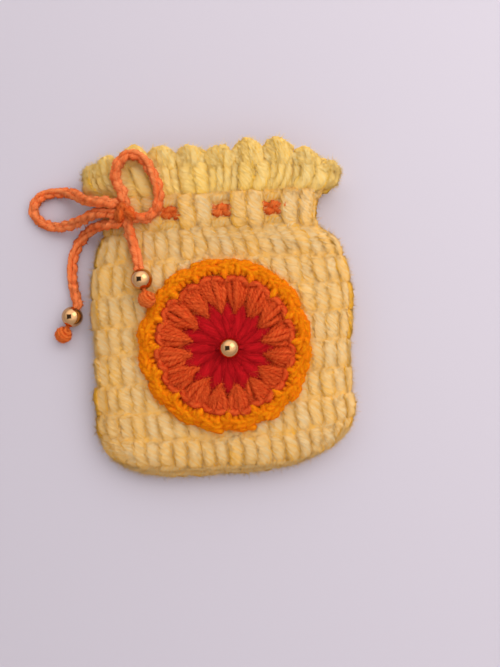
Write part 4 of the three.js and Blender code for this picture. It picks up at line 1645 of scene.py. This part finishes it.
@dataclass
class Knot:
    """The bow's knot: a plump heart with two turns of cord over it.

    The turns are given by how far each one leans, in radians, and its place along x, in mm.
    """

    place: Point = KNOT
    seed: int = 81
    heart: Point = (4.4, 0.6, -0.2)
    heart_half: Pair = (2.7, 2.3)
    heart_twist: Twist = Twist(12, 6, 3, 12.0)
    turns: tuple[Pair, ...] = ((0.35, -0.4), (-0.75, 1.4))
    turn_half: Pair = (3.6, 2.2)
    turn_size: float = 0.9
    turn_steps: int = 30

    def build(self) -> bpy.types.Object:
        """Makes the knot.

        Returns:
            The knot's piece.
        """
        skein = Skein(self.seed)
        t = np.linspace(-1, 1, self.heart_twist.rings)
        heart = np.array(self.place) + t[None, :, None] * np.array(self.heart)
        round_off = np.sqrt(np.clip(1.02 - t**2, 0.02, 1))
        width, height = self.heart_half
        up = np.broadcast_to(UP, heart.shape)
        skein.strands(heart, up, width * round_off, height * round_off, self.heart_twist)
        angle = np.linspace(-0.25 * np.pi, 1.25 * np.pi, self.turn_steps)[:, None]
        reach, rise = self.turn_half
        for lean, shift in self.turns:
            across = reach * np.array((math.sin(lean), math.cos(lean), 0.0))
            turn = np.cos(angle) * across + np.sin(angle) * np.array((0, 0, rise))
            route = np.array(self.place) + (shift, 0, 0) + turn
            ChainCord().lay(skein, route, unit(turn), self.turn_size)
        return skein.piece(Piece("bow_knot_yarn", DEEP_AND_SHADED_ORANGE, ("bow_knot",)))


@dataclass
class NeckCord:
    """The cord inside the eyelet round, up in each gap and back behind each pair of posts.

    It starts and ends under the bow, and stays behind the posts over the tucked shares at the right edge.
    """

    form: PouchForm
    seed: int = 82
    level: float = 8.48
    in_gap: float = -2.1
    behind: float = -4.0
    ends: Pair = (0.004, 0.996)
    tucked: Pair = (0.47, 0.53)
    steps: int = 400
    size: float = 1.24

    def build(self) -> bpy.types.Object:
        """Makes the cord all round the neck.

        Returns:
            The cord's piece.
        """
        shares = EyeletBand.first + np.linspace(*self.ends, self.steps)
        wave = np.cos(2 * np.pi * EyeletBand.eyelets * (shares - EyeletBand.first))
        out = self.behind + (self.in_gap - self.behind) * np.clip(0.75 + 0.9 * wave, 0, 1)
        low, high = self.tucked
        out = np.where((shares > low) & (shares < high), self.behind, out)
        route, up = self.form.at(shares, self.level, out)
        skein = Skein(self.seed, fuzz=0.5)
        ChainCord(turn=0.0).lay(skein, route, up, self.size)
        return skein.piece(Piece("neck_cord_chain", DEEP_AND_SHADED_ORANGE, ("neck_cord",)))


@dataclass
class Bow:
    """The bow at the left: its knot, two loops, and two tails with a bead and a yarn ball each."""

    def build(self) -> None:
        """Makes the bow's pieces."""
        Knot().build()
        CordPiece("bow_loop_side", SIDE_LOOP, "object", 91).build()
        CordPiece("bow_loop_top", TOP_LOOP, "object", 92).build()
        ends = (
            ("side", SIDE_TAIL, SIDE_BEAD, SIDE_BALL, 93),
            ("front", FRONT_TAIL, FRONT_BEAD, FRONT_BALL, 95),
        )
        for name, tail, bead, ball, seed in ends:
            axis = tuple(np.array(bead) - np.array(ball))
            carried = [
                Bead(f"bead_{name}_gold", f"bead_{name}", bead, axis, radius=4.4).build(),
                YarnBall(f"end_ball_{name}", ball, bead, seed).build(),
            ]
            CordPiece(f"tail_{name}", tail, "knot", seed + 1, slim_end=0.55).build(carried)


# The studio


@dataclass
class Studio:
    """The pale table, the soft light and the camera over the pouch."""

    camera_foot: Pair = (10.7, -31.9)
    camera_height: float = 280.0
    tilt: float = 4.0
    turn: float = -3.0
    focal_pixels: float = 660.0
    picture_height: float = 667.0
    sensor: float = 36.0
    floor_colour: Point = (215, 208, 214)
    floor_lit: Point = (2.6, 1.0, 0.0)
    floor_shade: float = 0.91
    floor_size: float = 6.0
    sky_colour: Point = (250, 246, 252)
    sky: float = 0.867
    window: Point = (0.22, 0.45, 0.866)
    window_glow: Ramp = ((0.1, 0.9), (0.8, 1.9))
    dark: Pair = (-0.33, 0.0)
    dark_edge: Ramp = ((0.32, 0.46), (0.04, 1.0))
    horizon: Ramp = ((0.1, 0.5), (0.85, 1.0))
    key_place: Point = (420.0, 330.0, 600.0)
    key_size: float = 560.0
    key_watts: float = 1.28

    def build(self) -> None:
        """Sets up the floor, the light and the camera."""
        self._camera()
        self._floor()
        self._light()
        bpy.context.scene.view_settings.view_transform = "Standard"

    def _camera(self) -> None:
        """Looks almost straight down, as the photograph does."""
        turn, tilt = math.radians(self.turn), math.radians(self.tilt)
        right = Vector((math.cos(turn), math.sin(turn), 0))
        ahead = Vector((-math.sin(turn), math.cos(turn), 0))
        look = ahead * math.sin(tilt) - Vector((0, 0, 1)) * math.cos(tilt)
        up = right.cross(look)
        camera = bpy.data.cameras.new("camera")
        camera.sensor_width = self.sensor
        camera.lens = self.sensor * self.focal_pixels / self.picture_height
        camera.clip_start = 0.01
        holder = bpy.data.objects.new("camera", camera)
        place = Vector((*self.camera_foot, self.camera_height)) * MM
        holder.matrix_world = Matrix.Translation(place) @ Matrix((right, up, -look)).transposed().to_4x4()
        bpy.context.scene.collection.objects.link(holder)
        bpy.context.scene.camera = holder

    def _floor(self) -> None:
        """Lays the pale table top, its colour painted with light: lighter to the upper right, shaded to the
        lower left.
        """
        bpy.ops.object.select_all(action="DESELECT")
        bpy.ops.mesh.primitive_plane_add(size=self.floor_size)
        floor = bpy.context.object
        floor.name = "table_top"
        material, nodes, surface = new_material("table_top")
        place = nodes.add("TexCoord").outputs["Object"]
        # Painted light on the floor: its colour is painted lighter along floor_lit and dimmed to floor_shade
        # of itself on the other side.
        share = nodes.clamp(nodes.math("ADD", nodes.along(place, self.floor_lit), 0.5))
        shaded_floor = tuple(c * self.floor_shade for c in self.floor_colour)
        colour = nodes.blend(share, shaded_floor, self.floor_colour)
        nodes.tree.links.new(colour, surface.inputs["Base Color"])
        surface.inputs["Roughness"].default_value = 0.6
        surface.inputs["Specular IOR Level"].default_value = 0.2
        floor.data.materials.append(material)

    def _light(self) -> None:
        """Lights the table softly from the upper right, with a dark patch that the beads mirror."""
        world = bpy.data.worlds.new("studio")
        bpy.context.scene.world = world
        world.use_nodes = True
        nodes = Nodes(world.node_tree)
        background = world.node_tree.nodes["Background"]
        way = nodes.add("TexCoord").outputs["Generated"]
        x, y, z = nodes.add("SeparateXYZ", Vector=way).outputs
        bright = nodes.ramp(nodes.along(way, self.window), self.window_glow)
        aside = nodes.math("ABSOLUTE", nodes.math("SUBTRACT", x, self.dark[0]))
        ahead = nodes.math("ABSOLUTE", nodes.math("SUBTRACT", y, self.dark[1]))
        below = nodes.math("MULTIPLY", nodes.math("LESS_THAN", z, 0.0), 2.0)
        apart = nodes.math("ADD", nodes.math("MAXIMUM", aside, ahead), below)
        patch = nodes.ramp(apart, self.dark_edge)
        low = nodes.ramp(z, self.horizon)
        level = nodes.math("MULTIPLY", nodes.math("MULTIPLY", bright, patch), low)
        background.inputs["Color"].default_value = linear(self.sky_colour)
        nodes.tree.links.new(nodes.math("MULTIPLY", level, self.sky), background.inputs["Strength"])
        key = bpy.data.lights.new("key", "AREA")
        key.size = self.key_size * MM
        key.energy = self.key_watts
        holder = bpy.data.objects.new("key", key)
        place = Vector(self.key_place) * MM
        holder.location = place
        holder.rotation_euler = (-place).to_track_quat("-Z", "Y").to_euler()
        bpy.context.scene.collection.objects.link(holder)


def main() -> None:
    """Builds the studio and dresses the pouch."""
    logging.basicConfig(level=logging.INFO, format="%(message)s")
    Studio().build()
    form = PouchForm()
    Bow().build()
    NeckCord(form).build()
    PouchBody(form).build()
    Lining(form).build()
    EyeletBand(form).build()
    Frill(form).build()
    Rosette(form).build()
    Bead("rosette_bead_gold", "rosette_bead", ROSETTE_BEAD, (1.0, 0.0, 0.0), radius=4.25).build()
    BeadThread(ROSETTE_BEAD).build()


if __name__ == "__main__":
    main()
